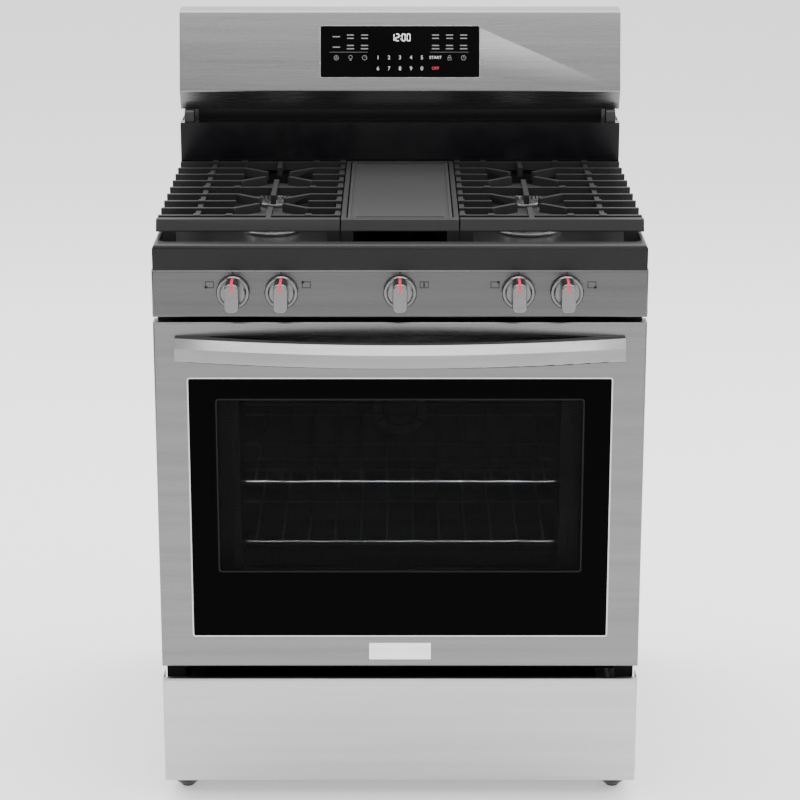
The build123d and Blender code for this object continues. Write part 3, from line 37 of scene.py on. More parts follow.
# all of these are in millimetres, in the frame of the CAD model
PANEL_Y = -300.0  # front of the control panel and of the door skin
KNOB_FRONT_Y = -348.0
KNOB_Z = 847.0
KNOB_X = {"front_left": -255.0, "rear_left": -181.0, "center": 0.0, "rear_right": 181.0, "front_right": 255.0}
GLASS_Y = -298.5
GLASS_LOW_Z, GLASS_HIGH_Z, GLASS_WIDTH = 284.5, 709.0, 655.0
WINDOW_LOW_Z, WINDOW_HIGH_Z, WINDOW_WIDTH = 393.0, 674.0, 568.0
PRINT_DEPTH = 0.15


# ---------------------------------------------------------------- materials
def grey(value):
    return (value, value, value)


def set_range(node, low, high, to_low, to_high):
    for key, value in (("From Min", low), ("From Max", high), ("To Min", to_low), ("To Max", to_high)):
        node.inputs[key].default_value = value


class Shader:
    """A material with a Principled shader and helpers to build textures in object space."""

    def __init__(self, name):
        self.material = bpy.data.materials.new(name)
        self.material.use_nodes = True
        self.nodes = self.material.node_tree.nodes
        self.links = self.material.node_tree.links
        self.bsdf = self.nodes["Principled BSDF"]
        self.coords = self.nodes.new("ShaderNodeTexCoord")

    def set(self, **values):
        for key, value in values.items():
            self.bsdf.inputs[key.replace("_", " ")].default_value = value

    def stretched(self, scale):
        mapping = self.nodes.new("ShaderNodeMapping")
        mapping.inputs["Scale"].default_value = scale
        self.links.new(self.coords.outputs["Object"], mapping.inputs["Vector"])
        return mapping.outputs["Vector"]

    def noise(self, scale, detail=2.0, stretch=(1, 1, 1)):
        node = self.nodes.new("ShaderNodeTexNoise")
        node.inputs["Scale"].default_value = scale
        node.inputs["Detail"].default_value = detail
        self.links.new(self.stretched(stretch), node.inputs["Vector"])
        return node.outputs["Fac"]

    def cells(self, scale, output="Color"):
        node = self.nodes.new("ShaderNodeTexVoronoi")
        node.inputs["Scale"].default_value = scale
        self.links.new(self.coords.outputs["Object"], node.inputs["Vector"])
        return node.outputs[output]

    def spread(self, noise, to_low, to_high):
        """Stretches the middle of a noise texture, where nearly all of its values lie, over a range."""
        return self.remap(noise, 0.3, 0.7, to_low, to_high)

    def remap(self, source, low, high, to_low, to_high):
        node = self.nodes.new("ShaderNodeMapRange")
        set_range(node, low, high, to_low, to_high)
        self.links.new(source, node.inputs["Value"])
        return node.outputs["Result"]

    def blend(self, factor, first, second):
        node = self.nodes.new("ShaderNodeMix")
        node.data_type = "RGBA"
        self.links.new(factor, node.inputs[0])
        for socket, value in ((node.inputs[6], first), (node.inputs[7], second)):
            if isinstance(value, tuple):
                socket.default_value = (*value, 1)
            else:
                self.links.new(value, socket)
        return node.outputs[2]

    def product(self, first, second):
        node = self.nodes.new("ShaderNodeMath")
        node.operation = "MULTIPLY"
        self.links.new(first, node.inputs[0])
        self.links.new(second, node.inputs[1])
        return node.outputs[0]

    def mix(self, first, second):
        """A shader between two others; its factor is left to set or link."""
        node = self.nodes.new("ShaderNodeMixShader")
        self.links.new(first, node.inputs[1])
        self.links.new(second, node.inputs[2])
        return node

    def tinted_clear(self, tint):
        node = self.nodes.new("ShaderNodeBsdfTransparent")
        node.inputs["Color"].default_value = (*tint, 1)
        return node.outputs[0]

    def show(self, shader_output):
        self.links.new(shader_output, self.nodes["Material Output"].inputs["Surface"])

    def colour(self, source):
        self.links.new(source, self.bsdf.inputs["Base Color"])

    def rough(self, source):
        self.links.new(source, self.bsdf.inputs["Roughness"])

    def bump(self, source, strength, distance=0.0005):
        node = self.nodes.new("ShaderNodeBump")
        node.inputs["Strength"].default_value = strength
        node.inputs["Distance"].default_value = distance
        self.links.new(source, node.inputs["Height"])
        self.links.new(node.outputs["Normal"], self.bsdf.inputs["Normal"])


def surface(name, light, dark, rough, scale, metallic=0.0, stretch=(1, 1, 1), bump=0.0, **extra):
    """A material whose colour and roughness wander between two values; rough is (low, high)."""
    shader = Shader(name)
    shader.set(Metallic=metallic, **extra)
    grain = shader.noise(scale, 4.0, stretch)
    shader.colour(shader.blend(shader.spread(grain, 0, 1), dark, light))
    shader.rough(shader.spread(grain, *rough))
    if bump:
        shader.bump(grain, bump)
    return shader.material


def brushed(name, light, dark, rough):
    """Steel brushed along X, with fine lines in its gloss and wide ones in its tone."""
    shader = Shader(name)
    shader.set(Metallic=1.0, Anisotropic=0.35)
    lines = shader.noise(1.0, 3.0, (6.0, 900.0, 900.0))
    clouds = shader.noise(1.0, 2.0, (1.2, 60.0, 60.0))
    shader.colour(shader.blend(shader.spread(clouds, 0, 1), grey(dark), grey(light)))
    shader.rough(shader.spread(lines, *rough))
    shader.bump(lines, 0.04, 0.0002)
    return shader.material


def enamel(name, ground, speck, rough, amount=0.16):
    """Porcelain enamel with fine light specks."""
    shader = Shader(name)
    shader.set(Coat_Weight=0.3, Coat_Roughness=0.12)
    distance = shader.cells(420.0, "Distance")
    scatter = shader.noise(150.0, 2.0)
    specks = shader.remap(distance, amount, amount + 0.05, 1, 0)
    mask = shader.product(specks, shader.remap(scatter, 0.5, 0.6, 0, 1))
    shader.colour(shader.blend(mask, ground, speck))
    shader.rough(shader.spread(scatter, *rough))
    shader.bump(scatter, 0.03)
    return shader.material


def galvanized():
    """Zinc-coated sheet with spangles."""
    shader = Shader("galvanized")
    shader.set(Metallic=0.9)
    tone = shader.nodes.new("ShaderNodeRGBToBW")
    shader.links.new(shader.cells(70.0), tone.inputs["Color"])
    shader.colour(shader.blend(tone.outputs["Val"], (0.42, 0.43, 0.44), (0.62, 0.63, 0.64)))
    shader.rough(shader.remap(tone.outputs["Val"], 0, 1, 0.34, 0.5))
    return shader.material


def box_mask(shader, width, low_z, high_z):
    """1 inside a rectangle of the XZ plane, in millimetres and centred on X, and 0 outside it."""
    parts = shader.nodes.new("ShaderNodeSeparateXYZ")
    shader.links.new(shader.coords.outputs["Object"], parts.inputs[0])

    def inside(source, middle, half):
        node = shader.nodes.new("ShaderNodeMath")
        node.operation = "COMPARE"
        node.inputs[1].default_value = middle * MM
        node.inputs[2].default_value = half * MM
        shader.links.new(source, node.inputs[0])
        return node.outputs[0]

    across = inside(parts.outputs[0], 0.0, width / 2)
    upright = inside(parts.outputs[2], (low_z + high_z) / 2, (high_z - low_z) / 2)
    return shader.product(across, upright)


def window_glass(name, tint):
    """Black glass with a tinted clear window in it."""
    shader = Shader(name)
    shader.set(Base_Color=(0.0006, 0.0006, 0.0007, 1), Specular_IOR_Level=0.02)
    shader.rough(shader.spread(shader.noise(6.0, 2.0), 0.04, 0.09))
    gloss = shader.nodes.new("ShaderNodeBsdfGlossy")
    gloss.inputs["Roughness"].default_value = 0.03
    edge = shader.nodes.new("ShaderNodeFresnel")
    edge.inputs["IOR"].default_value = 1.12
    pane = shader.mix(shader.tinted_clear(tint), gloss.outputs[0])
    shader.links.new(edge.outputs[0], pane.inputs[0])
    whole = shader.mix(shader.bsdf.outputs[0], pane.outputs[0])
    shader.links.new(box_mask(shader, WINDOW_WIDTH, WINDOW_LOW_Z, WINDOW_HIGH_Z), whole.inputs[0])
    shader.show(whole.outputs[0])
    return shader.material


def clear_pane(name, tint, reflection):
    """Clear glass that reflects a little."""
    shader = Shader(name)
    shader.set(Base_Color=(0.8, 0.82, 0.82, 1), Metallic=1.0)
    shader.rough(shader.spread(shader.noise(6.0, 2.0), 0.03, 0.08))
    pane = shader.mix(shader.tinted_clear(tint), shader.bsdf.outputs[0])
    pane.inputs[0].default_value = reflection
    shader.show(pane.outputs[0])
    return shader.material


def lit_print(name, colour, strength):
    """Back-lit print on the display, a little uneven."""
    shader = Shader(name)
    shader.set(Emission_Strength=strength, Roughness=0.4)
    glow = shader.noise(300.0, 2.0)
    tint = shader.blend(glow, tuple(0.8 * c for c in colour), colour)
    shader.colour(tint)
    shader.links.new(tint, shader.bsdf.inputs["Emission Color"])
    return shader.material


# the steels are one brushed steel painted in a different tone for each part: each tone is painted reflection,
# the light or shade of the piece of floor that part mirrors
stainless = brushed("stainless", 0.21, 0.18, (0.22, 0.30))
stainless_back_painted_reflection = brushed("stainless_back_painted_reflection", 0.25, 0.22, (0.24, 0.32))
stainless_panel_painted_reflection = brushed("stainless_panel_painted_reflection", 0.125, 0.108, (0.24, 0.32))
stainless_drawer_painted_reflection = brushed("stainless_drawer_painted_reflection", 0.52, 0.47, (0.28, 0.36))
handle_steel = brushed("handle_steel", 0.29, 0.25, (0.15, 0.22))
badge_metal = brushed("badge_metal", 0.88, 0.82, (0.3, 0.4))
knob_metal = surface("knob_metal", grey(0.22), grey(0.18), (0.2, 0.28), 90.0, 1.0, (1, 1, 8))
polished = surface("polished_edge", grey(0.6), grey(0.52), (0.12, 0.2), 60.0, 1.0)
cast_aluminium = surface("cast_aluminium", grey(0.46), grey(0.34), (0.3, 0.45), 350.0, 1.0, bump=0.12)
wire_plate = surface("wire_plate", grey(0.42), grey(0.32), (0.28, 0.4), 120.0, 1.0)
zinc_plate = surface("zinc_plate", (0.62, 0.62, 0.58), (0.5, 0.5, 0.47), (0.3, 0.45), 260.0, 1.0)
brass = surface("brass", (0.72, 0.55, 0.26), (0.55, 0.4, 0.17), (0.25, 0.4), 200.0, 1.0)
zinc_sheet = galvanized()

porcelain = enamel("oven_porcelain", (0.006, 0.0065, 0.008), (0.035, 0.037, 0.045), (0.35, 0.5))
frame_enamel = enamel("frame_porcelain", (0.012, 0.012, 0.014), (0.08, 0.08, 0.09), (0.25, 0.35), 0.12)
dark_enamel = surface(
    "dark_enamel", (0.012, 0.012, 0.0125), (0.01, 0.01, 0.0105), (0.28, 0.32), 300.0, Specular_IOR_Level=0.22
)
riser_paint = surface(
    "riser_enamel", (0.006, 0.006, 0.007), (0.004, 0.004, 0.005), (0.16, 0.22), 30.0, Specular_IOR_Level=0.25
)
cap_enamel = surface("cap_enamel", grey(0.012), grey(0.007), (0.4, 0.5), 400.0, bump=0.1)
cast_iron = surface(
    "cast_iron", (0.014, 0.014, 0.015), (0.007, 0.007, 0.008), (0.45, 0.6), 650.0, bump=0.3,
    Specular_IOR_Level=0.3,
)
griddle_coat = surface(
    "griddle_coat", (0.03, 0.03, 0.031), (0.024, 0.024, 0.025), (0.4, 0.5), 800.0, 0.1, bump=0.06,
    Specular_IOR_Level=0.35,
)
black_paint = surface(
    "black_paint", (0.022, 0.022, 0.023), (0.014, 0.014, 0.015), (0.35, 0.5), 700.0, bump=0.05
)
dark_trim = surface(
    "dark_trim", (0.035, 0.035, 0.036), (0.025, 0.025, 0.026), (0.35, 0.45), 400.0, 0.3, bump=0.05
)

wool = surface("mineral_wool", (0.72, 0.66, 0.45), (0.5, 0.45, 0.3), (0.85, 0.95), 220.0, bump=1.0)
gasket_weave = surface("gasket_weave", grey(0.12), grey(0.05), (0.7, 0.85), 900.0, bump=0.8)
board_green = surface("board_green", (0.03, 0.2, 0.08), (0.02, 0.12, 0.05), (0.3, 0.45), 300.0)
ceramic = surface("ceramic", (0.82, 0.8, 0.75), (0.7, 0.68, 0.62), (0.2, 0.3), 150.0)
foot_plastic = surface("foot_plastic", grey(0.02), grey(0.012), (0.4, 0.55), 600.0, bump=0.1)

door_glass = window_glass("door_glass", (0.5, 0.5, 0.51))
pane_glass = clear_pane("pane_glass", (0.93, 0.94, 0.94), 0.008)
display_black = surface(
    "display_black", (0.002, 0.002, 0.0024), (0.0012, 0.0012, 0.0014), (0.05, 0.1), 8.0,
    Specular_IOR_Level=0.06,
)
lamp_glass = surface(
    "lamp_glass", (0.9, 0.9, 0.86), (0.8, 0.8, 0.76), (0.15, 0.3), 90.0, Transmission_Weight=0.5
)
frit_line = surface("frit_line", grey(0.008), grey(0.005), (0.3, 0.4), 500.0, Specular_IOR_Level=0.15)

red_print = surface("red_print", (0.75, 0.03, 0.07), (0.6, 0.02, 0.05), (0.3, 0.42), 500.0)
# dark print, also used for the painted shade in the screw recesses
ink_and_painted_shade = surface("ink_and_painted_shade", grey(0.012), grey(0.02), (0.45, 0.6), 700.0)
white_light = lit_print("white_light", grey(1.0), 1.4)
white_print = lit_print("white_print", grey(0.75), 0.45)
dim_print = lit_print("dim_print", grey(0.3), 0.12)
red_light = lit_print("red_light", (0.75, 0.04, 0.07), 0.5)

MATERIAL_OF = {
    stainless: ("door_skin",),
    # the backguard, control panel and drawer front take the door's steel in tones of painted reflection
    stainless_back_painted_reflection: ("backguard_shell",),
    stainless_panel_painted_reflection: ("control_panel",),
    stainless_drawer_painted_reflection: ("drawer_front",),
    handle_steel: ("door_handle",),
    dark_enamel: ("cooktop",),
    riser_paint: ("riser_panel",),
    black_paint: ("side_panel_left", "side_panel_right", "drawer_box"),
    porcelain: ("oven_liner", "oven_floor_panel", "fan_cover", "door_liner"),
    frame_enamel: ("front_frame",),
    zinc_sheet: ("base_frame", "back_panel", "bake_burner", "broil_burner", "convection_fan", "flue_duct"),
    cast_iron: ("grate_left", "grate_right", "grate_center"),
    cap_enamel: ("burner_caps",),
    griddle_coat: ("griddle",),
    cast_aluminium: ("burner_bases", "burner_tubes", "pressure_regulator"),
    brass: ("burner_valves",),
    wire_plate: ("rack_guides", "rack_upper", "rack_lower"),
    zinc_plate: (
        "fan_motor", "panel_screws", "hinge_arms", "hinge_channels", "drawer_runners", "drawer_rails",
        "gas_manifold",
    ),
    wool: ("insulation_blanket",),
    gasket_weave: ("door_gasket",),
    board_green: ("control_board",),
    ceramic: ("spark_igniters",),
    foot_plastic: ("levelling_legs",),
    dark_trim: ("vent_trim",),
    door_glass: ("door_outer_glass",),
    pane_glass: ("door_inner_glass",),
    display_black: ("display_glass",),
    lamp_glass: ("oven_lamp",),
}

material_of_node = {node: material for material, nodes in MATERIAL_OF.items() for node in nodes}
for name in KNOB_X:
    material_of_node[f"knob_{name}"] = knob_metal
    material_of_node[f"valve_stem_{name}"] = zinc_plate

# width of the softened edge of a node, in millimetres
SOFT_EDGE = {"grate_left": 1.3, "grate_right": 1.3, "grate_center": 1.3, "griddle": 1.2, "burner_bases": 0.5}
USUAL_EDGE = 0.35
# nodes that are round or soft enough as they are, and so get no bevel
NO_BEVEL = (
    "door_outer_glass", "door_inner_glass", "insulation_blanket", "rack_upper", "rack_lower", "rack_guides",
    "door_handle", "levelling_legs", "gas_manifold", "burner_tubes", "oven_lamp", "panel_screws",
)
for name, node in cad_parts.items():
    node.data.materials.clear()
    node.data.materials.append(material_of_node[name])
    if name in NO_BEVEL or name.startswith(("knob_", "valve_stem_")):
        continue
    weld = node.modifiers.new("weld", "WELD")
    weld.merge_threshold = 0.01 * MM
    bevel = node.modifiers.new("soft_edges", "BEVEL")
    bevel.width = SOFT_EDGE.get(name, USUAL_EDGE) * MM
    bevel.segments = 2
    bevel.limit_method = "ANGLE"
    bevel.angle_limit = radians(35)
    bevel.harden_normals = True


# ---------------------------------------------------------------- drawing on flat faces
def face_matrix(origin, up, out):
    """A drawing plane in metres: local x to the right, y up the face, z out of it."""
    up, out = Vector(up).normalized(), Vector(out).normalized()
    right = up.cross(out)
    rotation = Matrix((right, up, out)).transposed().to_4x4()
    return Matrix.Translation(Vector(origin) * MM) @ rotation


def front_face(y, x=0, z=0):
    return face_matrix((x, y, z), (0, 0, 1), (0, -1, 0))


def back_face(y):
    return face_matrix((0, y, 0), (0, 0, 1), (0, 1, 0))


def place_piece(name, mesh, matrix, material, body):
    mesh.materials.clear()
    mesh.materials.append(material)
    piece = bpy.data.objects.new(name, mesh)
    bpy.context.scene.collection.objects.link(piece)
    piece.matrix_world = matrix
    bpy.context.view_layer.update()
    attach(piece, body)


def add_prism(builder, outline, depth):
    """Extrudes a closed outline in millimetres."""
    low = [builder.verts.new((x * MM, y * MM, 0)) for x, y in outline]
    high = [builder.verts.new((x * MM, y * MM, depth * MM)) for x, y in outline]
    count = len(outline)
    builder.faces.new(high)
    builder.faces.new(low[::-1])
    for i in range(count):
        j = (i + 1) % count
        builder.faces.new((low[i], low[j], high[j], high[i]))


def add_band(builder, outer, inner, depth):
    """A closed band between two outlines with the same number of points."""
    loops = []
    for outline, height in ((outer, 0), (outer, depth), (inner, depth), (inner, 0)):
        loops.append([builder.verts.new((x * MM, y * MM, height * MM)) for x, y in outline])
    count = len(outer)
    for a, b in zip(loops, loops[1:] + loops[:1]):
        for i in range(count):
            j = (i + 1) % count
            builder.faces.new((a[i], a[j], b[j], b[i]))


def rectangle(x, y, width, height):
    w, h = width / 2, height / 2
    return [(x - w, y - h), (x + w, y - h), (x + w, y + h), (x - w, y + h)]


def rounded(x, y, width, height, radius, steps=6):
    points = []
    corners = ((1, 1, 0), (-1, 1, 90), (-1, -1, 180), (1, -1, 270))
    for sx, sy, start in corners:
        cx, cy = x + sx * (width / 2 - radius), y + sy * (height / 2 - radius)
        for i in range(steps + 1):
            turn = radians(start + 90 * i / steps)
            points.append((cx + radius * cos(turn), cy + radius * sin(turn)))
    return points


def circle(x, y, radius, steps=32):
    turns = [2 * pi * i / steps for i in range(steps)]
    return [(x + radius * cos(turn), y + radius * sin(turn)) for turn in turns]


def ring(x, y, outer, inner, steps=32):
    return circle(x, y, outer, steps), circle(x, y, inner, steps)


def cross(x, y, size, width):
    return [rectangle(x, y, size, width), rectangle(x, y, width, size)]


def stroke(start, end, width):
    """The outline of a straight line of that width."""
    a, b = Vector(start), Vector(end)
    side = Vector((a.y - b.y, b.x - a.x)).normalized() * width / 2
    return [tuple(point) for point in (b + side, b - side, a - side, a + side)]


def drawing(name, matrix, material, body, fills=(), bands=(), depth=PRINT_DEPTH):
    """One thin piece made of filled outlines and of bands between pairs of outlines."""
    builder = bmesh.new()
    for outline in fills:
        add_prism(builder, outline, depth)
    for outer, inner in bands:
        add_band(builder, outer, inner, depth)
    bmesh.ops.recalc_face_normals(builder, faces=builder.faces)
    builder.normal_update()
    mesh = bpy.data.meshes.new(name)
    builder.to_mesh(mesh)
    builder.free()
    place_piece(name, mesh, matrix, material, body)


CAP_HEIGHT = 0.72  # height of a capital letter in Blender's own font, at size 1
LETTER_DEPTH = 0.05


def lettering(name, text, matrix, x, y, height, material, body):
    """Printed characters, centred on x, y."""
    curve = bpy.data.curves.new(name, "FONT")
    curve.body = text
    curve.size = height * MM / CAP_HEIGHT
    curve.align_x, curve.align_y = "CENTER", "CENTER"
    curve.extrude = LETTER_DEPTH * MM
    source = bpy.data.objects.new(name + "_outline", curve)
    bpy.context.scene.collection.objects.link(source)
    bpy.context.view_layer.update()
    shaped = source.evaluated_get(bpy.context.evaluated_depsgraph_get())
    mesh = bpy.data.meshes.new_from_object(shaped)
    bpy.data.objects.remove(source)
    shifted = matrix @ Matrix.Translation((x * MM, y * MM, LETTER_DEPTH * MM))
    place_piece(name, mesh, shifted, material, body)


# ---------------------------------------------------------------- control panel
panel_face = front_face(PANEL_Y)
ticks = [rectangle(x, KNOB_Z + 29.2, 2.8, 5.0) for x in KNOB_X.values()]
drawing("knob_ticks", panel_face, ink_and_painted_shade, "chassis", ticks)

# a small plan of the cooktop beside each knob, with a dot in the corner of the burner that it serves
ICON_W, ICON_H, ICON_LINE, ICON_Z = 13.8, 10.8, 1.4, 858.0
DOT_RADIUS, DOT_INSET = 2.3, 1.6
# place along X, side of the cooktop and end of it; the centre burner has neither
BURNER_ICONS = ((-291.0, -1, -1), (-143.0, -1, 1), (37.0, 0, 0), (145.0, 1, 1), (293.0, 1, -1))
icon_bands, icon_dots = [], []
for x, side, end in BURNER_ICONS:
    outer = rectangle(x, ICON_Z, ICON_W, ICON_H)
    inner = rectangle(x, ICON_Z, ICON_W - 2 * ICON_LINE, ICON_H - 2 * ICON_LINE)
    icon_bands.append((outer, inner))
    if side:
        dot_x = x + side * (ICON_W / 2 - DOT_INSET)
        dot_z = ICON_Z + end * (ICON_H / 2 - DOT_INSET)
        icon_dots.append(circle(dot_x, dot_z, DOT_RADIUS, 20))
    else:
        icon_dots.append(rectangle(x, ICON_Z, 3.4, 7.4))
drawing("burner_icons", panel_face, ink_and_painted_shade, "chassis", icon_dots, icon_bands)

POINTER_W = 4.2
GRIP_TOP_Z = KNOB_Z + 23.25
TOP_RUN, TOP_RISE = 40, 1.5  # the top of the grip rises a little towards the panel
BEZEL_OUTER_R, BEZEL_INNER_R = 25.9, 19
BEZEL_DEPTH = 0.9  # leaves the knob room to be pushed in
for name, x in KNOB_X.items():
    # red pointer, on the front of the grip, over its rounded edge and along its top
    knob = f"knob_{name}"
    pointer_face = front_face(KNOB_FRONT_Y, x, KNOB_Z)
    drawing(f"pointer_{name}", pointer_face, red_print, knob, [rectangle(0, 15.6, POINTER_W, 9)])
    edge_face = face_matrix((x, KNOB_FRONT_Y + 0.75, KNOB_Z + 21.75), (0, 1, 1), (0, -1, 1))
    drawing(f"pointer_edge_{name}", edge_face, red_print, knob, [rectangle(0, 0, POINTER_W, 2.6)])
    top_face = face_matrix(
        (x, KNOB_FRONT_Y + 20, GRIP_TOP_Z), (0, TOP_RUN, TOP_RISE), (0, -TOP_RISE, TOP_RUN)
    )
    top_stripe = [rectangle(0, 0.3, POINTER_W, 34.5)]
    drawing(f"pointer_top_{name}", top_face, red_print, knob, top_stripe, depth=0.2)
    bezel_face = front_face(PANEL_Y, x, KNOB_Z)
    bezel = [ring(0, 0, BEZEL_OUTER_R, BEZEL_INNER_R, 64)]
    drawing(f"bezel_{name}", bezel_face, polished, "chassis", bands=bezel, depth=BEZEL_DEPTH)

# ---------------------------------------------------------------- display
# the sloped face runs from (270, 1061) to (302, 1191) in Y and Z, and the glass stands a little proud of it
FACE_TILT = atan2(302.0 - 270.0, 1191.0 - 1061.0)
FACE_MIDDLE = Vector((0, (270.0 + 302.0) / 2, (1061.0 + 1191.0) / 2))
GLASS_PROUD = 0.45
display_out = (0, -cos(FACE_TILT), sin(FACE_TILT))
display_up = (0, sin(FACE_TILT), cos(FACE_TILT))
display_face = face_matrix(FACE_MIDDLE + Vector(display_out) * GLASS_PROUD, display_up, display_out)

# middle of each segment of a digit, and whether it lies flat
SEGMENTS = {
    "a": (0, 1, True), "g": (0, 0, True), "d": (0, -1, True),
    "f": (-1, 0.5, False), "b": (1, 0.5, False), "e": (-1, -0.5, False), "c": (1, -0.5, False),
}
DIGITS = {"0": "abcdef", "1": "bc", "2": "abged"}
CLOCK_Y, DIGIT_W, DIGIT_H, DIGIT_LINE = 24.4, 5.2, 11.6, 1.2
CLOCK = (("1", -12.9), ("2", -4.4), ("0", 6.2), ("0", 14.8))
COLON_X, COLON_HALF_GAP = 1.0, 2.6


def clock_digit(character, x, y, width, height, line):
    shapes = []
    for key in DIGITS[character]:
        px, py, flat = SEGMENTS[key]
        cx, cy = x + px * width / 2, y + py * height / 2
        if flat:
            shapes.append(rectangle(cx, cy, width - line * 0.6, line))
        else:
            shapes.append(rectangle(cx, cy, line, height / 2 - line * 0.6))
    return shapes


clock = []
for character, x in CLOCK:
    clock += clock_digit(character, x, CLOCK_Y, DIGIT_W, DIGIT_H, DIGIT_LINE)
for dy in (-COLON_HALF_GAP, COLON_HALF_GAP):
    clock.append(rectangle(COLON_X, CLOCK_Y + dy, DIGIT_LINE, DIGIT_LINE))
drawing("clock", display_face, white_light, "chassis", clock)

KEY_COLUMNS = (-37.8, -18.9, 0.0, 18.9, 37.6)
KEY_HEIGHT, WORD_HEIGHT, WORD_X = 6.6, 5.2, 60.8
for row, y in (("12345", -10.2), ("67890", -28.9)):
    for character, x in zip(row, KEY_COLUMNS):
        lettering(f"key_{character}", character, display_face, x, y, KEY_HEIGHT, white_print, "chassis")
lettering("key_start", "START", display_face, WORD_X, -10.2, WORD_HEIGHT, white_print, "chassis")
lettering("key_off", "OFF", display_face, WORD_X, -28.6, WORD_HEIGHT, red_light, "chassis")

# unlettered bars stand for the function names: one in the first column, two in each of the others
BAR_H, BAR_GAP = 1.7, 5.6
UPPER_BARS_Y, LOWER_BARS_Y = 25.6, 7.8
SINGLE_BAR_X = -109.2
labels = []
for x in (SINGLE_BAR_X, -85.0, -60.8, 61.0, 85.0, 109.2):
    for y, lower_width in ((UPPER_BARS_Y, 11.4), (LOWER_BARS_Y, 12.6)):
        if x == SINGLE_BAR_X:
            labels.append(rectangle(x, y, 12.5, BAR_H))
        else:
            labels.append(rectangle(x, y + BAR_GAP / 2, 12.0, BAR_H))
            labels.append(rectangle(x, y - BAR_GAP / 2, lower_width, BAR_H))
drawing("function_labels", display_face, dim_print, "chassis", labels)

# faint rules under the bars, and a row of icons: a fan, a bulb, two clocks and a padlock
ICON_Y = -10.4
FAN_X, BULB_X, TIMER_X, LOCK_X, CLOCK_ICON_X = -109.2, -85.0, -60.8, 85.0, 109.2
HAND_W, BLADE_W, BLADE_LENGTH = 0.6, 0.8, 3.0
faint = [rectangle(x, -0.8, 66, 0.35) for x in (-88.5, 84.5)]
faint.append(rectangle(BULB_X, -14.2, 2.6, 1.6))
faint.append(stroke((CLOCK_ICON_X, ICON_Y), (CLOCK_ICON_X, ICON_Y + 2.8), HAND_W))
faint.append(stroke((CLOCK_ICON_X, ICON_Y), (CLOCK_ICON_X + 2.0, ICON_Y), HAND_W))
faint.append(stroke((TIMER_X, ICON_Y), (TIMER_X + 1.6, ICON_Y + 1.6), HAND_W))
for turn in (90, 210, 330):
    tip = (FAN_X + BLADE_LENGTH * cos(radians(turn)), ICON_Y + BLADE_LENGTH * sin(radians(turn)))
    faint.append(stroke((FAN_X, ICON_Y), tip, BLADE_W))
icon_rings = [ring(x, ICON_Y, 4.2, 3.5) for x in (TIMER_X, CLOCK_ICON_X, FAN_X)]
icon_rings.append(ring(BULB_X, -9.4, 3.4, 2.7))
icon_rings.append((rounded(LOCK_X, -12.0, 6.4, 5.0, 0.8), rounded(LOCK_X, -12.0, 5.2, 3.8, 0.4)))
icon_rings.append(ring(LOCK_X, -8.6, 2.4, 1.8))
drawing("function_icons", display_face, dim_print, "chassis", faint, icon_rings)

display_edge = (rounded(0, 0, 275.4, 90.4, 4.2), rounded(0, 0, 272.6, 87.6, 2.8))
drawing("display_edge", display_face, polished, "chassis", bands=[display_edge], depth=0.3)

# ---------------------------------------------------------------- door
# how far the bright edge reaches past the glass, and how far over it, in all
EDGE_OUT, EDGE_IN = 3.4, 0.6
glass_mid, glass_h = (GLASS_LOW_Z + GLASS_HIGH_Z) / 2, GLASS_HIGH_Z - GLASS_LOW_Z
glass_edge = (
    rounded(0, glass_mid, GLASS_WIDTH + EDGE_OUT, glass_h + EDGE_OUT, 4.6),
    rounded(0, glass_mid, GLASS_WIDTH - EDGE_IN, glass_h - EDGE_IN, 2.8),
)
drawing("glass_edge", front_face(PANEL_Y), polished, "door", bands=[glass_edge], depth=0.3)

FRIT_W = 2.0
window_mid, window_h = (WINDOW_LOW_Z + WINDOW_HIGH_Z) / 2, WINDOW_HIGH_Z - WINDOW_LOW_Z
frit = (
    rounded(0, window_mid, WINDOW_WIDTH + 2 * FRIT_W, window_h + 2 * FRIT_W, 5),
    rounded(0, window_mid, WINDOW_WIDTH, window_h, 4),
)
drawing("window_outline", front_face(GLASS_Y), frit_line, "door", bands=[frit], depth=0.05)

badge_face = front_face(PANEL_Y, z=258.5)
drawing("blank_badge", badge_face, badge_metal, "door", [rounded(0, 0, 98, 28, 1.0)], depth=1.0)

# ---------------------------------------------------------------- screws and rear panel
# the dark crosses on the screw heads are painted shade: dark ink standing in for the shade inside their cross
# recesses
RECESS_DEPTH = 0.06
SIDE_SCREW_Y, SIDE_SCREW_Z, SIDE_HEAD_X = (-200.0, 60.0, 320.0), 60.0, 377.8
for side, outward in (("left", -1), ("right", 1)):
    side_face = face_matrix((outward * SIDE_HEAD_X, 0, 0), (0, 0, 1), (outward, 0, 0))
    for i, y in enumerate(SIDE_SCREW_Y):
        recess = cross(outward * y, SIDE_SCREW_Z, 4.2, 0.9)
        drawing(f"side_recess_{side}_{i}", side_face, ink_and_painted_shade, "chassis", recess, depth=RECESS_DEPTH)

# pressed ribs, with almost fully rounded ends
BACK_PANEL_Y = 358.0
RIB_W, RIB_END_R, RIB_DEPTH = 12.0, 5.9, 1.4
ribs = [rounded(x, 540.0, RIB_W, 240.0, RIB_END_R) for x in (-235.0, 235.0)]
ribs += [rounded(0, z, 440.0, RIB_W, RIB_END_R) for z in (440.0, 640.0, 860.0)]
ribs += [rounded(0, z, 640.0, RIB_W, RIB_END_R) for z in (1040.0, 1150.0)]
drawing("back_ribs", back_face(BACK_PANEL_Y), zinc_sheet, "chassis", ribs, depth=RIB_DEPTH)

BACK_SCREW_X = (-362.0, -120.0, 120.0, 362.0)
LOWEST_ROW_Z = 120.0  # has no screws at its ends
BACK_SCREW_Z = (LOWEST_ROW_Z, 420.0, 660.0, 860.0, 1010.0)
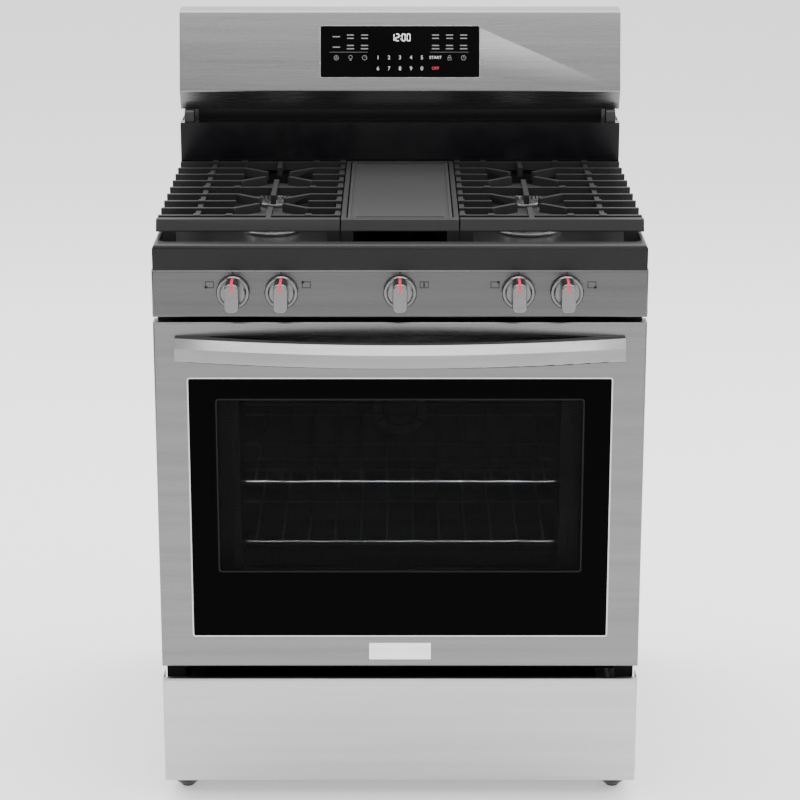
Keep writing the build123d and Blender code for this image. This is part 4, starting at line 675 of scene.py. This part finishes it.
# the dark crosses on the back screw heads are painted shade of their cross recesses as well
BACK_HEAD_Y = 359.95
recesses = []
for x in BACK_SCREW_X:
    for z in BACK_SCREW_Z:
        if z > LOWEST_ROW_Z or abs(x) < 300.0:
            recesses += cross(-x, z, 4.6, 1.0)
drawing("back_recess_painted_shade", back_face(BACK_HEAD_Y), ink_and_painted_shade, "chassis", recesses, depth=RECESS_DEPTH)

# ---------------------------------------------------------------- stage
bpy.ops.mesh.primitive_plane_add(size=60, location=(0, 0, 0))
floor = bpy.context.object
floor.name = "floor"
floor_pale = surface(
    "floor_pale", grey(0.9), grey(0.88), (0.55, 0.65), 3.0,
    Emission_Color=(1, 1, 1, 1), Emission_Strength=0.45,
)
floor.data.materials.append(floor_pale)

world = bpy.data.worlds.new("studio")
bpy.context.scene.world = world
world.use_nodes = True
nodes, links = world.node_tree.nodes, world.node_tree.links
background = nodes["Background"]
background.inputs["Strength"].default_value = 1.0
direction = nodes.new("ShaderNodeTexCoord")
split = nodes.new("ShaderNodeSeparateXYZ")
links.new(direction.outputs["Generated"], split.inputs[0])


def graded(source, low, high, to_low, to_high):
    node = nodes.new("ShaderNodeMapRange")
    node.interpolation_type = "SMOOTHSTEP"
    set_range(node, low, high, to_low, to_high)
    links.new(source, node.inputs["Value"])
    return node


# the studio in front of the object is grey on its left and paler on its right, it is white behind the
# object, and it turns to one tone overhead
side_tone = graded(split.outputs[0], -0.8, 0.5, 0.3, 0.9)
depth_tone = graded(split.outputs[1], -0.3, 0.3, 0.0, 2.2)
links.new(side_tone.outputs[0], depth_tone.inputs["To Min"])
height_tone = graded(split.outputs[2], 0.25, 0.8, 0.0, 1.15)
links.new(depth_tone.outputs[0], height_tone.inputs["To Min"])
links.new(height_tone.outputs[0], background.inputs["Color"])

# name, place and target in metres, width, height, power in watts and spread in degrees
LIGHTS = (
    ("key", (3.4, -2.6, 2.8), (0.2, -0.8, 0.3), 2.6, 2.6, 30, 180),
    ("top", (0, 0.6, 3.8), (0, 0.2, 0.9), 3.0, 3.0, 110, 180),
    ("floor_wash_left", (-2.6, 1.2, 2.8), (-1.6, 1.4, 0), 2.0, 3.0, 90, 180),
    ("floor_wash_right", (2.6, 1.2, 2.8), (1.6, 1.4, 0), 2.0, 3.0, 90, 180),
    ("front_softbox", (0, -2.7, 2.9), (0, -0.36, 0.77), 3.6, 0.9, 39, 180),
    ("oven_light", (0.0, -0.232, 0.728), (0.0, -0.222, 0.3), 0.56, 0.02, 0.5, 60),
)
for name, place, target, width, height, power, spread in LIGHTS:
    light = bpy.data.lights.new(name, "AREA")
    light.shape = "RECTANGLE"
    light.size, light.size_y = width, height
    light.energy = power
    light.spread = radians(spread)
    lamp = bpy.data.objects.new(name, light)
    bpy.context.scene.collection.objects.link(lamp)
    lamp.location = place
    lamp.rotation_euler = (Vector(target) - Vector(place)).to_track_quat("-Z", "Y").to_euler()

CAMERA_PLACE, CAMERA_PITCH, CAMERA_LENS = (0, -4.11, 1.791), 16.33, 115.5
camera_data = bpy.data.cameras.new("camera")
camera_data.lens = CAMERA_LENS
camera = bpy.data.objects.new("camera", camera_data)
bpy.context.scene.collection.objects.link(camera)
camera.location = CAMERA_PLACE
camera.rotation_euler = (radians(90 - CAMERA_PITCH), 0, 0)
bpy.context.scene.camera = camera
